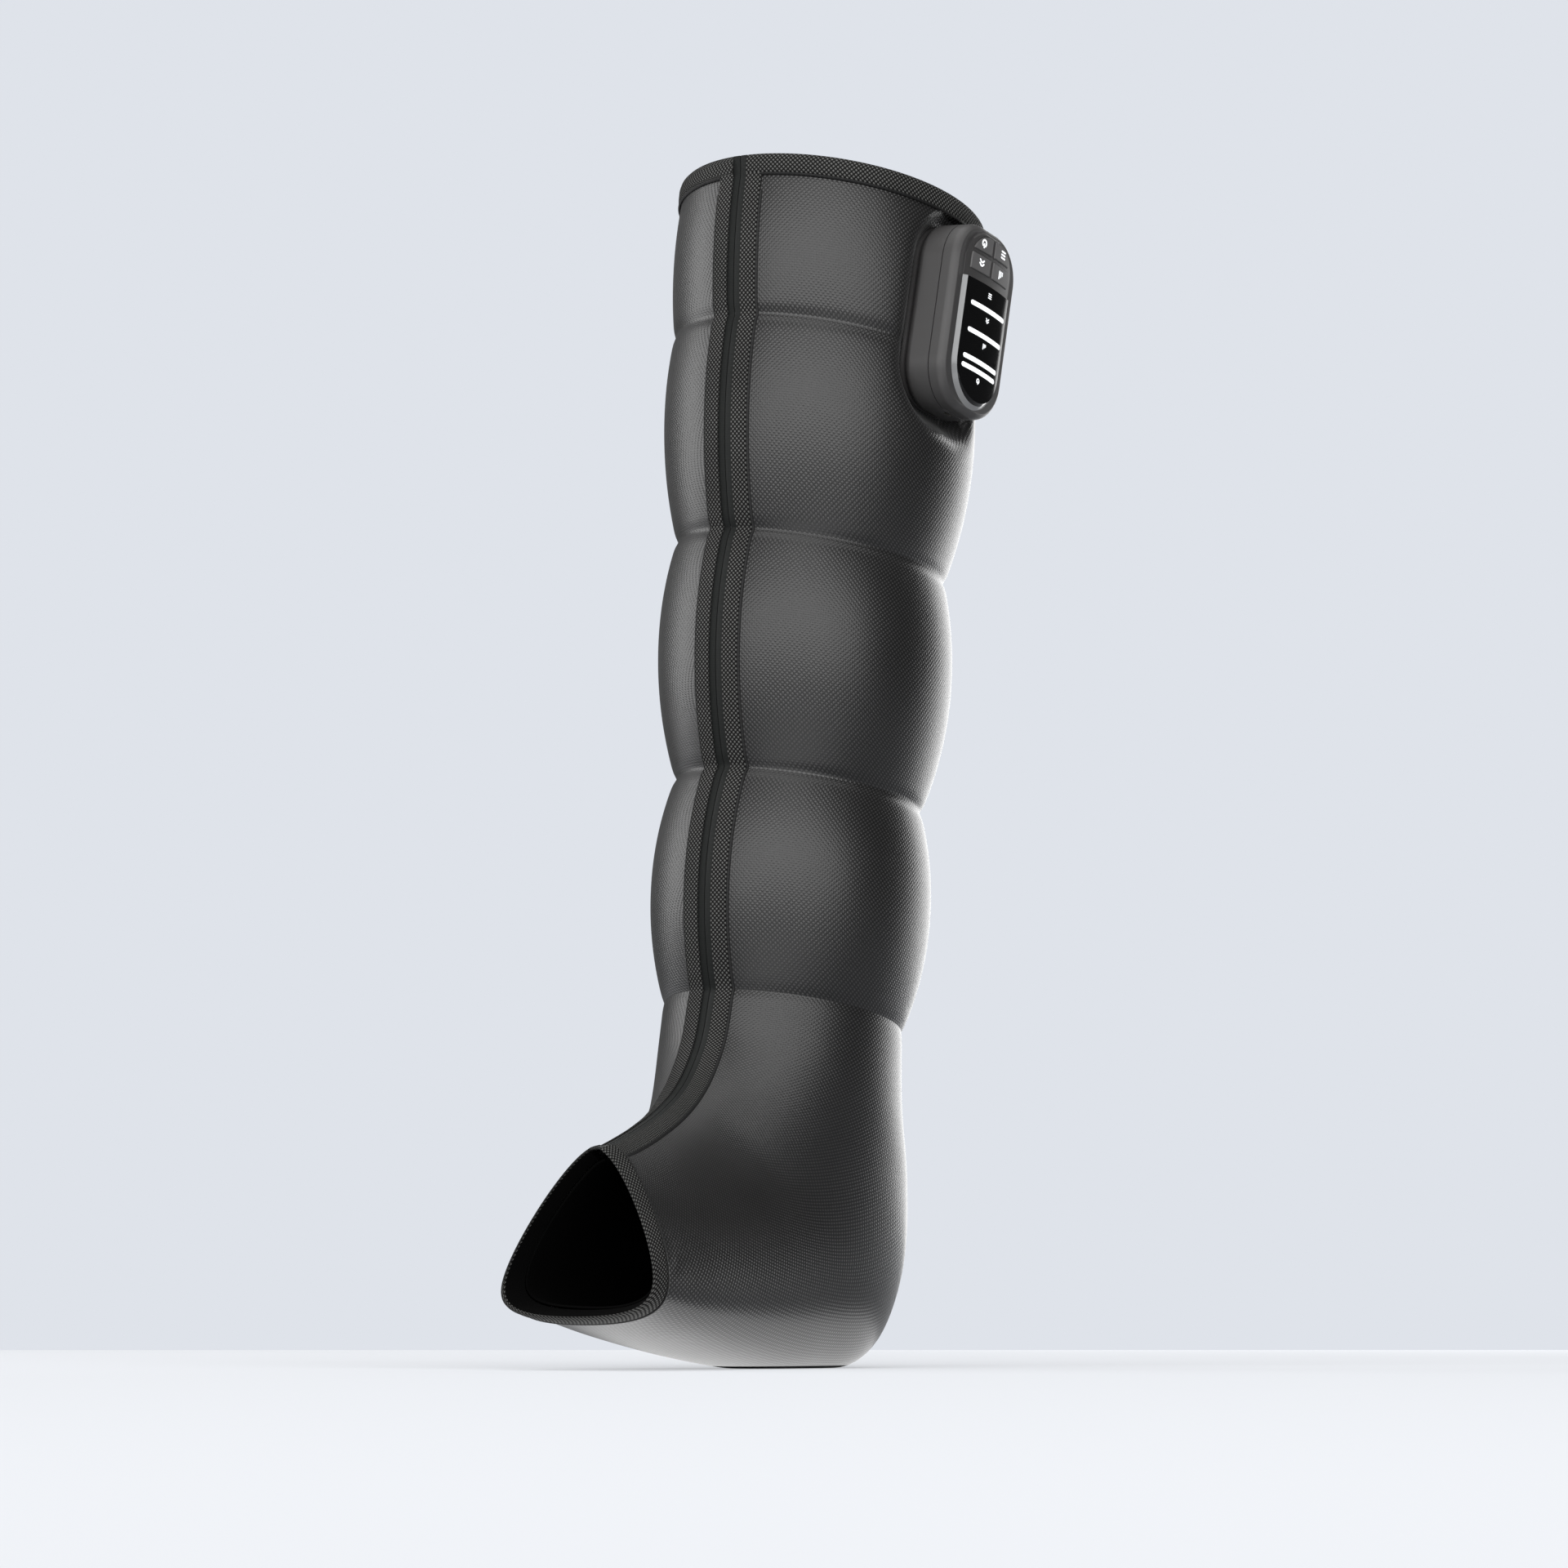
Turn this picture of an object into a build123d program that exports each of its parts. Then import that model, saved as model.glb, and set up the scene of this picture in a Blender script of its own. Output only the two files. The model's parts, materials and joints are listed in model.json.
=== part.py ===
"""Thigh-high air compression sleeve with an open toe and a pump controller on its side.

Millimetres. +Z is up, -Y points to the toes and +X to the outer side of the leg.
The origin lies on the flat patch of the sole, below the ankle.
"""

import os
from math import cos, radians, sin, sqrt
from typing import NamedTuple

from build123d import *

# ---------------------------------------------------------------------------
# Sleeve: driving dimensions
# ---------------------------------------------------------------------------
COVER_WALL = 1.6  # padded outer fabric
LINER_WALL = 1.2
FIT_GAP = 0.3  # between soft pieces that only lie against each other
LEG_WALL = 20.0  # outer skin to liner, at the thigh
FOOT_WALL = 8.0  # outer skin to liner, at the toes
BINDING_WALL = 0.9
BINDING_HEIGHT = 12.0  # of the tape round the two rims
RIM_WIDTH = 7.0  # flat top of the padded thigh rim
TOE_WIDTH = 3.0  # flat front of the toe rim
ZIP_WIDTH = 10.0  # bare zip between its two bindings
ZIP_BINDING_WIDTH = 11.0
ZIP_SEAM = 0.2  # where the two halves of the zip tape meet
ZIP_COIL_WIDTH = 5.0
ZIP_COIL_DEPTH = 1.8
TAPE_WALL = 1.2
LINER_SLIT = 2.0  # behind the zip
SOLE_SINK = 3.0  # how far the rounded sole is pressed flat by the floor
CHAMBER_INSET = 0.05  # share of a chamber's height left for the weld at each seam
CHAMBER_OPENING = 40.0  # width of the gap in each chamber behind the zip
FOOT_CHAMBER_GAP = 1.1
FOOT_CHAMBER_INSET = 0.25  # share of the foot's first and last step left for a weld
FOOT_STEPS = 1  # sections between each two of the foot's
CHAMBER_STEPS = 4  # strips from one seam of the leg to the next
QUARTER_SIDES = 6  # flat sides in a quarter of a section
BEYOND = 800.0  # clear of everything

# A section follows four Bezier quarters. A pear of 1 turns its ellipse into a rounded triangle
ROUND = 0.5523  # handle of a quarter circle
PEAR_WAIST = 0.62  # how far the widest place drops
PEAR_PEAK, PEAR_FLANK = 0.25, 0.30  # how much flatter the upper handles are
PEAR_BASE, PEAR_CORNER = 0.25, 0.10  # how much fuller the lower ones are

# ---------------------------------------------------------------------------
# Controller: driving dimensions, in its own frame: x across, y along, z outwards
# ---------------------------------------------------------------------------
CONTROLLER_HEIGHT = 642.0  # of its middle above the floor
CONTROLLER_LEG_Y = 51.9  # of the middle of the leg there
CONTROLLER_REACH = 82.5  # from the middle of the leg to its back
CONTROLLER_TURN = 94.5  # degrees round the leg from the zip
CONTROLLER_LEAN = 10.0  # degrees off upright
CONTROLLER_TILT = 3.0  # degrees that its front looks down, along the narrowing leg

HOUSING_WIDTH, HOUSING_LENGTH, HOUSING_CORNER = 72.0, 118.0, 27.0
HOUSING_WALL = 2.0
PARTING = 18.5  # height of the line between the two halves
FRONT_FACE = 29.5
FRONT_BEVEL = 3.2
BACK_BEVEL = 3.5
INNER_BEVEL = 2.0

CROWN = 155.0  # radius that the lens and the keys are curved to
LENS_WIDTH, LENS_TOP = 54.6, 22.0  # with its polished bezel
LENS_ROUND_Y = -28.5  # middle of its round lower end
LENS_CROWN, LENS_SEAT = 34.0, 28.5
LENS_LEDGE = 1.5
BEZEL_WIDTH, BEZEL_SLOPE = 2.4, 43.0
SNUG = 0.1
RISE = 6.0  # clear of every crown

KEYPAD_TOP, KEYPAD_LENGTH, KEYPAD_CORNER, KEYPAD_CROWN = 55.0, 80.0, 21.0, 32.2
KEYS_TOP, KEYS_CORNER = 52.0, 17.5
KEY_WIDTH, KEY_LENGTH, KEY_GAP = 20.6, 10.5, 2.8
KEY_BASE, KEY_FLANGE_TOP, KEY_CROWN = 25.8, 26.9, 32.8
KEY_FLANGE = 0.9
KEY_CLEARANCE = 0.3
KEY_BEVEL = 0.4

SCREW_SPOTS = [(side * x, y) for x, y in ((29.5, 14.0), (26.0, -42.0)) for side in (-1, 1)]
SCREW_RADIUS, SCREW_HEAD_RADIUS, SCREW_HEAD_HEIGHT = 1.2, 2.5, 1.3
SCREW_END = 25.0
SCREW_PILOT, SCREW_CLEAR = 1.3, 1.6
BOSS_SIZE = 6.0

DOCK_WIDTH, DOCK_LENGTH, DOCK_CORNER = 69.0, 115.0, 25.5
DOCK_BACK, DOCK_FRONT = -2.5, -0.3
POCKET_WIDTH, POCKET_LENGTH, POCKET_CORNER = 77.0, 123.0, 29.5
POCKET_FLOOR = -2.8
POCKET_FLARE = 12.0
POCKET_DEPTH = 30.0

CONNECTOR_WIDTH, CONNECTOR_HEIGHT, CONNECTOR_Y = 50.0, 6.0, 2.0
CONNECTOR_CLEAR = 0.5
CONNECTOR_END = -4.3
AIRWAY_PITCH, AIRWAY_COUNT, AIRWAY_RADIUS = 11.0, 5, 1.5
MANIFOLD_BACK, MANIFOLD_FRONT = 2.4, 5.6
VALVE_WIDTH, VALVE_LENGTH, VALVE_BACK, VALVE_FRONT = 10.0, 12.0, 5.8, 21.0
MOTOR_RADIUS, MOTOR_Y, MOTOR_LENGTH = 9.5, -36.0, 28.0
PUMP_Z = 12.8
PUMP_WIDTH, PUMP_LENGTH, PUMP_GAP = 20.0, 16.0, 0.3
BATTERY_WIDTH, BATTERY_LENGTH, BATTERY_Y = 44.0, 38.0, 31.0
BATTERY_BACK, BATTERY_FRONT = 3.0, 20.0
BATTERY_BEVEL = 2.0
MAIN_BOARD_WIDTH, MAIN_BOARD_LENGTH, MAIN_BOARD_Y = 46.0, 34.0, 33.0
MAIN_BOARD_BACK, MAIN_BOARD_FRONT = 21.5, 23.0
SWITCH_SIZE, SWITCH_BACK, SWITCH_BODY, SWITCH_FACE = 6.0, 23.1, 24.0, 24.5
SWITCH_STEM = 1.6
DISPLAY_WIDTH, DISPLAY_LENGTH, DISPLAY_Y = 44.0, 68.0, -13.0
DISPLAY_BACK, DISPLAY_FRONT = 24.0, 27.2
PORT_WIDTH, PORT_HEIGHT, PORT_DEPTH, PORT_Z = 9.0, 3.2, 6.0, 14.5
PORT_WALL, PORT_RECESS = 0.4, 0.4


class Section(NamedTuple):
    """A closed outline in a plane square to the plane of symmetry."""

    front_y: float
    front_z: float
    back_y: float
    back_z: float
    half_width: float
    pear: float  # 0 is an ellipse, more is narrower at the front or top
    roll: float  # slope of the plane across the leg


def leg_ring(centre_y, centre_z, radius, slope, roll=0.0):
    """A round section of the leg whose plane drops by slope towards the back."""
    rise = slope * radius
    return Section(
        centre_y - radius, centre_z + rise, centre_y + radius, centre_z - rise, radius, 0.0, roll
    )


def between(first, second, share):
    """The section that lies the given share of the way from one to another."""
    return Section(*(a + share * (b - a) for a, b in zip(first, second)))


def grown(section, amount):
    """The section with its outline moved outwards."""
    length_y = section.front_y - section.back_y
    length_z = section.front_z - section.back_z
    length = sqrt(length_y**2 + length_z**2)
    step_y, step_z = amount * length_y / length, amount * length_z / length
    return section._replace(
        front_y=section.front_y + step_y,
        front_z=section.front_z + step_z,
        back_y=section.back_y - step_y,
        back_z=section.back_z - step_z,
        half_width=section.half_width + amount,
    )


def all_grown(sections, amount):
    """Each section with its outline moved outwards."""
    return [grown(section, amount) for section in sections]


def inflated(upper, lower, radius):
    """The sections of the chamber between two seams, from its top to its bottom."""
    bulge = radius - between(upper, lower, 0.5).half_width
    shares = [step / CHAMBER_STEPS for step in range(CHAMBER_STEPS + 1)]
    return [
        grown(between(upper, lower, share), 4 * bulge * share * (1 - share)) for share in shares
    ]


# The seams between the chambers, from the thigh rim down to the ankle
THIGH_RIM = leg_ring(59.0, 721.0, 95.5, 0.229, -0.01)
SEAM_1 = leg_ring(50.0, 624.0, 94.0, 0.20, -0.05)
SEAM_2 = leg_ring(35.5, 496.5, 83.5, 0.165, -0.07)
SEAM_3 = leg_ring(22.6, 350.5, 76.0, 0.175, -0.04)
SEAM_4 = leg_ring(7.0, 213.5, 73.0, 0.20)
THIGH_EDGE = between(THIGH_RIM, SEAM_1, BINDING_HEIGHT / (THIGH_RIM.back_z - SEAM_1.back_z))
LEG_SEAMS = [grown(THIGH_EDGE, -BINDING_WALL), SEAM_1, SEAM_2, SEAM_3, SEAM_4]
SWOLLEN_RADII = [97.0, 96.0, 91.0, 86.0]
LEG_CHAMBERS = [
    inflated(upper, lower, radius)
    for upper, lower, radius in zip(LEG_SEAMS, LEG_SEAMS[1:], SWOLLEN_RADII)
]
LEG_RUN = [LEG_SEAMS[0]] + [section for chamber in LEG_CHAMBERS for section in chamber[1:]]

# The foot, turning from the ankle seam to the toe opening
ANKLE = Section(-74.0, 198.0, 82.0, 152.0, 73.0, 0.0, 0.0)
HEEL_BACK = Section(-86.0, 177.0, 92.0, 100.0, 71.0, 0.05, 0.0)
HEEL_LOW = Section(-97.0, 165.0, 90.0, 45.0, 68.0, 0.12, 0.0)
HEEL_BASE = Section(-108.0, 157.0, 60.0, 2.0, 64.0, 0.25, 0.0)
ARCH = Section(-120.0, 150.0, 0.0, -SOLE_SINK, 61.0, 0.4, 0.0)
INSTEP = Section(-137.5, 142.0, -70.0, 4.0, 59.0, 0.6, 0.0)
BALL = Section(-153.0, 136.0, -135.0, 16.0, 58.0, 0.8, 0.0)
TOE_EDGE = Section(-164.0, 133.0, -185.3, 27.4, 57.7, 0.94, 0.0)
TOE_RIM = Section(-176.0, 131.0, -197.0, 30.0, 57.5, 1.0, 0.0)
FOOT = [ANKLE, HEEL_BACK, HEEL_LOW, HEEL_BASE, ARCH, INSTEP, BALL]

# The liner's sections, each as far inside the outer skin as its wall there
FOOT_END = grown(TOE_EDGE, -BINDING_WALL)
LINED = [*LEG_SEAMS, *FOOT, FOOT_END]
LINER = [
    grown(section, (LEG_WALL - FOOT_WALL) * place / (len(LINED) - 1) - LEG_WALL)
    for place, section in enumerate(LINED)
]


def section_corners(section):
    """The corners of a section's flat-sided outline."""
    length_y = section.front_y - section.back_y
    length_z = section.front_z - section.back_z
    across = Vector(1, 0, section.roll)
    along = Vector(0, length_y, length_z)
    centre = Vector(
        0, (section.front_y + section.back_y) / 2, (section.front_z + section.back_z) / 2
    )
    plane = Plane(origin=centre, x_dir=across, z_dir=across.cross(along))
    half_width, half_length = section.half_width, along.length / 2
    top, bottom = (0, half_length), (0, -half_length)
    waist = -PEAR_WAIST * section.pear * half_length
    right, left = (half_width, waist), (-half_width, waist)
    top_reach = half_width * (ROUND - PEAR_PEAK * section.pear)
    bottom_reach = half_width * (ROUND + PEAR_BASE * section.pear)
    rise = (half_length - waist) * (ROUND - PEAR_FLANK * section.pear)
    fall = (half_length + waist) * (ROUND + PEAR_CORNER * section.pear)
    with BuildLine(plane):
        quarters = [
            Bezier(top, (top_reach, half_length), (half_width, waist + rise), right),
            Bezier(right, (half_width, waist - fall), (bottom_reach, -half_length), bottom),
            Bezier(bottom, (-bottom_reach, -half_length), (-half_width, waist - fall), left),
            Bezier(left, (-half_width, waist + rise), (-top_reach, half_length), top),
        ]
    shares = [step / QUARTER_SIDES for step in range(QUARTER_SIDES)]
    return [quarter @ share for quarter in quarters for share in shares]


def catmull_rom(before, start, end, after, t):
    """A value the share t of the way from start to end on a smooth run."""
    linear = end - before
    square = 2 * before - 5 * start + 4 * end - after
    cube = 3 * start - before - 3 * end + after
    return start + (t * linear + t**2 * square + t**3 * cube) / 2


def flowing(sections):
    """The sections with others between them, all on one smooth run."""
    first = between(sections[1], sections[0], 2.0)
    last = between(sections[-2], sections[-1], 2.0)
    padded = [first, *sections, last]
    run = [sections[0]]
    for around in zip(padded, padded[1:], padded[2:], padded[3:]):
        for step in range(1, FOOT_STEPS + 2):
            share = step / (FOOT_STEPS + 1)
            run.append(Section(*(catmull_rom(*values, share) for values in zip(*around))))
    return run


FOOT_RUN = flowing([SEAM_4, *FOOT, FOOT_END])
WHOLE_RUN = [*LEG_RUN, *FOOT_RUN[1:]]


def tube_of(sections):
    """The solid inside a run of sections, each of whose patches is folded across, flat on flat."""
    rings = [section_corners(section) for section in sections]
    outlines = [rings[0], rings[-1]]
    for ring, following in zip(rings, rings[1:]):
        for place in range(len(ring)):
            after = (place + 1) % len(ring)
            patch = [ring[place], ring[after], following[after], following[place]]
            fold = place // (len(ring) // 2)
            outlines.append([patch[0], patch[1], patch[2 + fold]])
            outlines.append([patch[2], patch[3], patch[fold]])
    faces = [Face(Wire.make_polygon(outline)) for outline in outlines]
    return Solid(Shell(faces))


def front_slab(first_x, last_x):
    """A slab in front of the middle of the leg and above that of the foot."""
    middles = [
        ((section.front_y + section.back_y) / 2, (section.front_z + section.back_z) / 2)
        for section in LINED
    ]
    top = (middles[0][0], BEYOND)
    toe = (-BEYOND, middles[-1][1])
    with BuildPart() as slab:
        with BuildSketch(Plane.YZ.offset(first_x)):
            with BuildLine():
                Polyline(top, *middles, toe, (-BEYOND, BEYOND), close=True)
            make_face()
        extrude(amount=last_x - first_x)
    return slab.part


def above(part, height):
    """The part of a solid above a level."""
    with BuildPart() as kept:
        add(part, clean=False)
        split(bisect_by=Plane.XY.offset(height), keep=Keep.TOP)
    return kept.part


# ---------------------------------------------------------------------------
# The controller's frame, and the pocket that it presses into the sleeve
# ---------------------------------------------------------------------------
turn, lean, tilt = radians(CONTROLLER_TURN), radians(CONTROLLER_LEAN), radians(CONTROLLER_TILT)
away = Vector(sin(turn), -cos(turn), 0)
round_leg = Vector(cos(turn), sin(turn), 0)
outward = away * cos(tilt) - Vector(0, 0, sin(tilt))
upward = away * sin(tilt) + Vector(0, 0, cos(tilt))
CONTROLLER = Plane(
    origin=Vector(0, CONTROLLER_LEG_Y, CONTROLLER_HEIGHT) + away * CONTROLLER_REACH,
    x_dir=round_leg * cos(lean) - upward * sin(lean),
    z_dir=outward,
)
OUTWARD = Axis(CONTROLLER.origin, CONTROLLER.z_dir)


def level(z):
    """The controller's plane at a height above its back."""
    return CONTROLLER.offset(z)


def pocket(grow):
    """The hollow that the controller presses into the sleeve."""
    with BuildPart() as hollow:
        with BuildSketch(level(POCKET_FLOOR - grow)):
            RectangleRounded(
                POCKET_WIDTH + 2 * grow, POCKET_LENGTH + 2 * grow, POCKET_CORNER + grow
            )
        extrude(amount=POCKET_DEPTH, taper=-POCKET_FLARE)
    return hollow.part


def connector(grow, back, front):
    """The oblong bar of the air connector, with its outline moved outwards."""
    with BuildPart() as bar:
        with BuildSketch(level(back)):
            with Locations((0, CONNECTOR_Y)):
                SlotOverall(CONNECTOR_WIDTH + 2 * grow, CONNECTOR_HEIGHT + 2 * grow)
        extrude(amount=front - back)
    return bar.part


# ---------------------------------------------------------------------------
# Sleeve
# ---------------------------------------------------------------------------
zip_slot = front_slab(-ZIP_WIDTH / 2 - FIT_GAP, ZIP_WIDTH / 2 + FIT_GAP)

with BuildPart() as leg_hollow:
    add(tube_of(all_grown(LEG_RUN, -COVER_WALL)), clean=False)
    add(pocket(COVER_WALL), mode=Mode.SUBTRACT, clean=False)

with BuildPart() as leg_cover:
    add(tube_of(LEG_RUN), clean=False)
    add(pocket(0.0), mode=Mode.SUBTRACT, clean=False)
    add(leg_hollow.part, mode=Mode.SUBTRACT, clean=False)
    add(zip_slot, mode=Mode.SUBTRACT, clean=False)
    add(connector(CONNECTOR_CLEAR, 2 * CONNECTOR_END, 0.0), mode=Mode.SUBTRACT, clean=False)

with BuildPart() as foot_cover:
    add(above(tube_of(FOOT_RUN), 0.0), clean=False)
    add(
        above(tube_of(all_grown(FOOT_RUN, -COVER_WALL)), COVER_WALL),
        mode=Mode.SUBTRACT,
        clean=False,
    )
    add(zip_slot, mode=Mode.SUBTRACT, clean=False)


def liner_form(amount):
    """The solid inside the liner, moved outwards by amount."""
    return tube_of(all_grown(LINER, amount))


with BuildPart() as inner_liner:
    add(liner_form(0.0), clean=False)
    add(liner_form(-LINER_WALL), mode=Mode.SUBTRACT, clean=False)
    add(front_slab(-LINER_SLIT / 2, LINER_SLIT / 2), mode=Mode.SUBTRACT, clean=False)

chamber_gap = front_slab(-CHAMBER_OPENING / 2, CHAMBER_OPENING / 2)
lining = liner_form(FIT_GAP)
air_chambers = []
for chamber in LEG_CHAMBERS:
    widest = chamber[CHAMBER_STEPS // 2]
    ends = [between(seam, widest, 2 * CHAMBER_INSET) for seam in (chamber[0], chamber[-1])]
    skin = all_grown([ends[0], widest, ends[1]], -COVER_WALL - FIT_GAP)
    with BuildPart() as air_chamber:
        add(tube_of(skin), clean=False)
        add(lining, mode=Mode.SUBTRACT, clean=False)
        add(chamber_gap, mode=Mode.SUBTRACT, clean=False)
        add(pocket(COVER_WALL + FIT_GAP), mode=Mode.SUBTRACT, clean=False)
    air_chambers.append(air_chamber)

with BuildPart() as air_chamber:
    start = between(SEAM_4, ANKLE, FOOT_CHAMBER_INSET)
    end = between(TOE_EDGE, BALL, FOOT_CHAMBER_INSET)
    skin = all_grown(flowing([start, *FOOT, end]), -COVER_WALL - FOOT_CHAMBER_GAP)
    add(above(tube_of(skin), COVER_WALL + FIT_GAP), clean=False)
    add(lining, mode=Mode.SUBTRACT, clean=False)
    add(chamber_gap, mode=Mode.SUBTRACT, clean=False)
air_chambers.append(air_chamber)


def front_strip(run, outer, inner, first_x, last_x):
    """The part of a run of sections between two offsets from its skin and two places across."""
    with BuildPart() as strip:
        add(tube_of(all_grown(run, outer)), clean=False)
        add(front_slab(first_x, last_x), mode=Mode.INTERSECT, clean=False)
        add(tube_of(all_grown(run, inner)), mode=Mode.SUBTRACT, clean=False)
    return strip


TAPE_RUN = [THIGH_RIM, *WHOLE_RUN, TOE_RIM]
zip_sides = {"left": -1, "right": 1}
zip_tapes, zip_bindings = {}, {}
for side, sign in zip_sides.items():
    tape_edges = sorted((sign * ZIP_SEAM / 2, sign * ZIP_WIDTH / 2))
    binding_edges = sorted((sign * ZIP_WIDTH / 2, sign * (ZIP_WIDTH / 2 + ZIP_BINDING_WIDTH)))
    zip_tapes[side] = front_strip(TAPE_RUN, 0.0, -TAPE_WALL, *tape_edges)
    zip_bindings[side] = front_strip(
        WHOLE_RUN, FIT_GAP + BINDING_WALL, FIT_GAP, *binding_edges
    )

coil_outer = -TAPE_WALL - FIT_GAP
zip_coil = front_strip(
    WHOLE_RUN, coil_outer, coil_outer - ZIP_COIL_DEPTH, -ZIP_COIL_WIDTH / 2, ZIP_COIL_WIDTH / 2
)

with BuildPart() as rim_binding:
    add(tube_of([THIGH_RIM, THIGH_EDGE]), clean=False)
    add(
        tube_of([grown(THIGH_RIM, -RIM_WIDTH), LINER[0]]), mode=Mode.SUBTRACT, clean=False
    )
    add(zip_slot, mode=Mode.SUBTRACT, clean=False)

with BuildPart() as toe_binding:
    add(tube_of([TOE_EDGE, TOE_RIM]), clean=False)
    add(
        tube_of([LINER[-1], grown(TOE_RIM, -TOE_WIDTH)]), mode=Mode.SUBTRACT, clean=False
    )
    add(zip_slot, mode=Mode.SUBTRACT, clean=False)


# ---------------------------------------------------------------------------
# Controller housing
# ---------------------------------------------------------------------------
def housing_outline(inset):
    """The outline of the housing, moved inwards."""
    with BuildSketch() as outline:
        RectangleRounded(
            HOUSING_WIDTH - 2 * inset, HOUSING_LENGTH - 2 * inset, HOUSING_CORNER - inset
        )
    return outline.sketch


def lens_outline(inset, top):
    """The outline of the lens: square at the keys and round at the other end."""
    half_width = LENS_WIDTH / 2 - inset
    with BuildSketch() as outline:
        with Locations((0, LENS_ROUND_Y)):
            Circle(half_width)
            Rectangle(2 * half_width, top - LENS_ROUND_Y, align=(Align.CENTER, Align.MIN))
    return outline.sketch


def key_outline(column, row, grow):
    """The outline of one key, cut from the keypad's rounded corner."""
    row_y = KEYS_TOP - KEY_LENGTH / 2 - row * (KEY_LENGTH + KEY_GAP)
    keys_width = 2 * KEY_WIDTH + KEY_GAP
    with BuildSketch() as outline:
        with Locations((0, KEYS_TOP - KEYPAD_LENGTH / 2)):
            RectangleRounded(
                keys_width + 2 * grow, KEYPAD_LENGTH + 2 * grow, KEYS_CORNER + grow
            )
        with Locations((column * (KEY_WIDTH + KEY_GAP) / 2, row_y)):
            Rectangle(KEY_WIDTH + 2 * grow, KEY_LENGTH + 2 * grow, mode=Mode.INTERSECT)
    return outline.sketch


def crown(apex):
    """All that is under the front's curve, whose middle is at the height given."""
    end = CONTROLLER.from_local_coords((0, -HOUSING_LENGTH, apex - CROWN))
    with BuildPart() as under:
        with BuildSketch(Plane(origin=end, x_dir=CONTROLLER.x_dir, z_dir=CONTROLLER.y_dir)):
            Circle(CROWN)
        extrude(amount=2 * HOUSING_LENGTH)
    return under.part


def strip_of_front(first_y, last_y):
    """A block that takes in all of the front between two places along it."""
    with BuildPart() as block_part:
        with BuildSketch(level(0.0)):
            with Locations((0, (first_y + last_y) / 2)):
                Rectangle(2 * HOUSING_WIDTH, last_y - first_y)
        extrude(amount=2 * LENS_CROWN)
    return block_part.part


KEY_PLACES = {
    "power_key": (-1, 0),
    "mode_key": (1, 0),
    "zone_key": (-1, 1),
    "pressure_key": (1, 1),
}
PORT = Plane(
    origin=CONTROLLER.from_local_coords((0, -HOUSING_LENGTH / 2, PORT_Z)),
    x_dir=CONTROLLER.x_dir,
    z_dir=-CONTROLLER.y_dir,
)

with BuildPart() as rear_housing:
    with BuildSketch(level(0.0)):
        add(housing_outline(0.0))
    extrude(amount=PARTING)
    chamfer(rear_housing.faces().sort_by(OUTWARD)[0].edges(), BACK_BEVEL)
    with BuildSketch(level(HOUSING_WALL)):
        add(housing_outline(HOUSING_WALL))
    extrude(amount=PARTING, mode=Mode.SUBTRACT)
    with BuildSketch(level(0.0)):
        with Locations(SCREW_SPOTS):
            Rectangle(BOSS_SIZE, BOSS_SIZE)
    extrude(amount=PARTING)
    with BuildSketch(level(0.0)):
        with Locations(SCREW_SPOTS):
            Circle(SCREW_CLEAR)
    extrude(amount=PARTING, mode=Mode.SUBTRACT)
    add(connector(CONNECTOR_CLEAR, 0.0, HOUSING_WALL), mode=Mode.SUBTRACT)
    with BuildSketch(PORT.offset(HOUSING_WALL)):
        SlotOverall(PORT_WIDTH + 2 * FIT_GAP, PORT_HEIGHT + 2 * FIT_GAP)
    extrude(amount=-2 * HOUSING_WALL, mode=Mode.SUBTRACT)

with BuildPart() as front_cavity:
    with BuildSketch(level(PARTING)):
        add(housing_outline(HOUSING_WALL))
    extrude(amount=FRONT_FACE - HOUSING_WALL - PARTING)
    chamfer(front_cavity.faces().sort_by(OUTWARD)[-1].edges(), INNER_BEVEL)

with BuildPart() as keypad:
    with BuildSketch(level(FRONT_FACE)):
        with Locations((0, KEYPAD_TOP - KEYPAD_LENGTH / 2)):
            RectangleRounded(LENS_WIDTH, KEYPAD_LENGTH, KEYPAD_CORNER)
    extrude(amount=RISE, taper=BEZEL_SLOPE)
    add(crown(KEYPAD_CROWN), mode=Mode.INTERSECT)
    add(strip_of_front(LENS_TOP + SNUG, HOUSING_LENGTH), mode=Mode.INTERSECT)

with BuildPart() as front_housing:
    with BuildSketch(level(PARTING)):
        add(housing_outline(0.0))
    extrude(amount=FRONT_FACE - PARTING)
    chamfer(front_housing.faces().sort_by(OUTWARD)[-1].edges(), FRONT_BEVEL)
    add(keypad.part)
    add(front_cavity.part, mode=Mode.SUBTRACT)
    with BuildSketch(level(PARTING)):
        with Locations(SCREW_SPOTS):
            Rectangle(BOSS_SIZE, BOSS_SIZE)
    extrude(amount=FRONT_FACE - HOUSING_WALL - PARTING)
    with BuildSketch(level(PARTING)):
        with Locations(SCREW_SPOTS):
            Circle(SCREW_PILOT)
    extrude(amount=SCREW_END + FIT_GAP - PARTING, mode=Mode.SUBTRACT)
    with BuildSketch(level(LENS_SEAT)):
        add(lens_outline(BEZEL_WIDTH, LENS_TOP))
    extrude(amount=HOUSING_WALL, mode=Mode.SUBTRACT)
    with BuildSketch(level(PARTING)):
        add(lens_outline(BEZEL_WIDTH + LENS_LEDGE, LENS_TOP - LENS_LEDGE))
    extrude(amount=FRONT_FACE - PARTING, mode=Mode.SUBTRACT)
    with BuildSketch(level(PARTING)):
        for column, row in KEY_PLACES.values():
            add(key_outline(column, row, KEY_CLEARANCE))
    extrude(amount=KEYPAD_CROWN - PARTING, mode=Mode.SUBTRACT)

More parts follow.
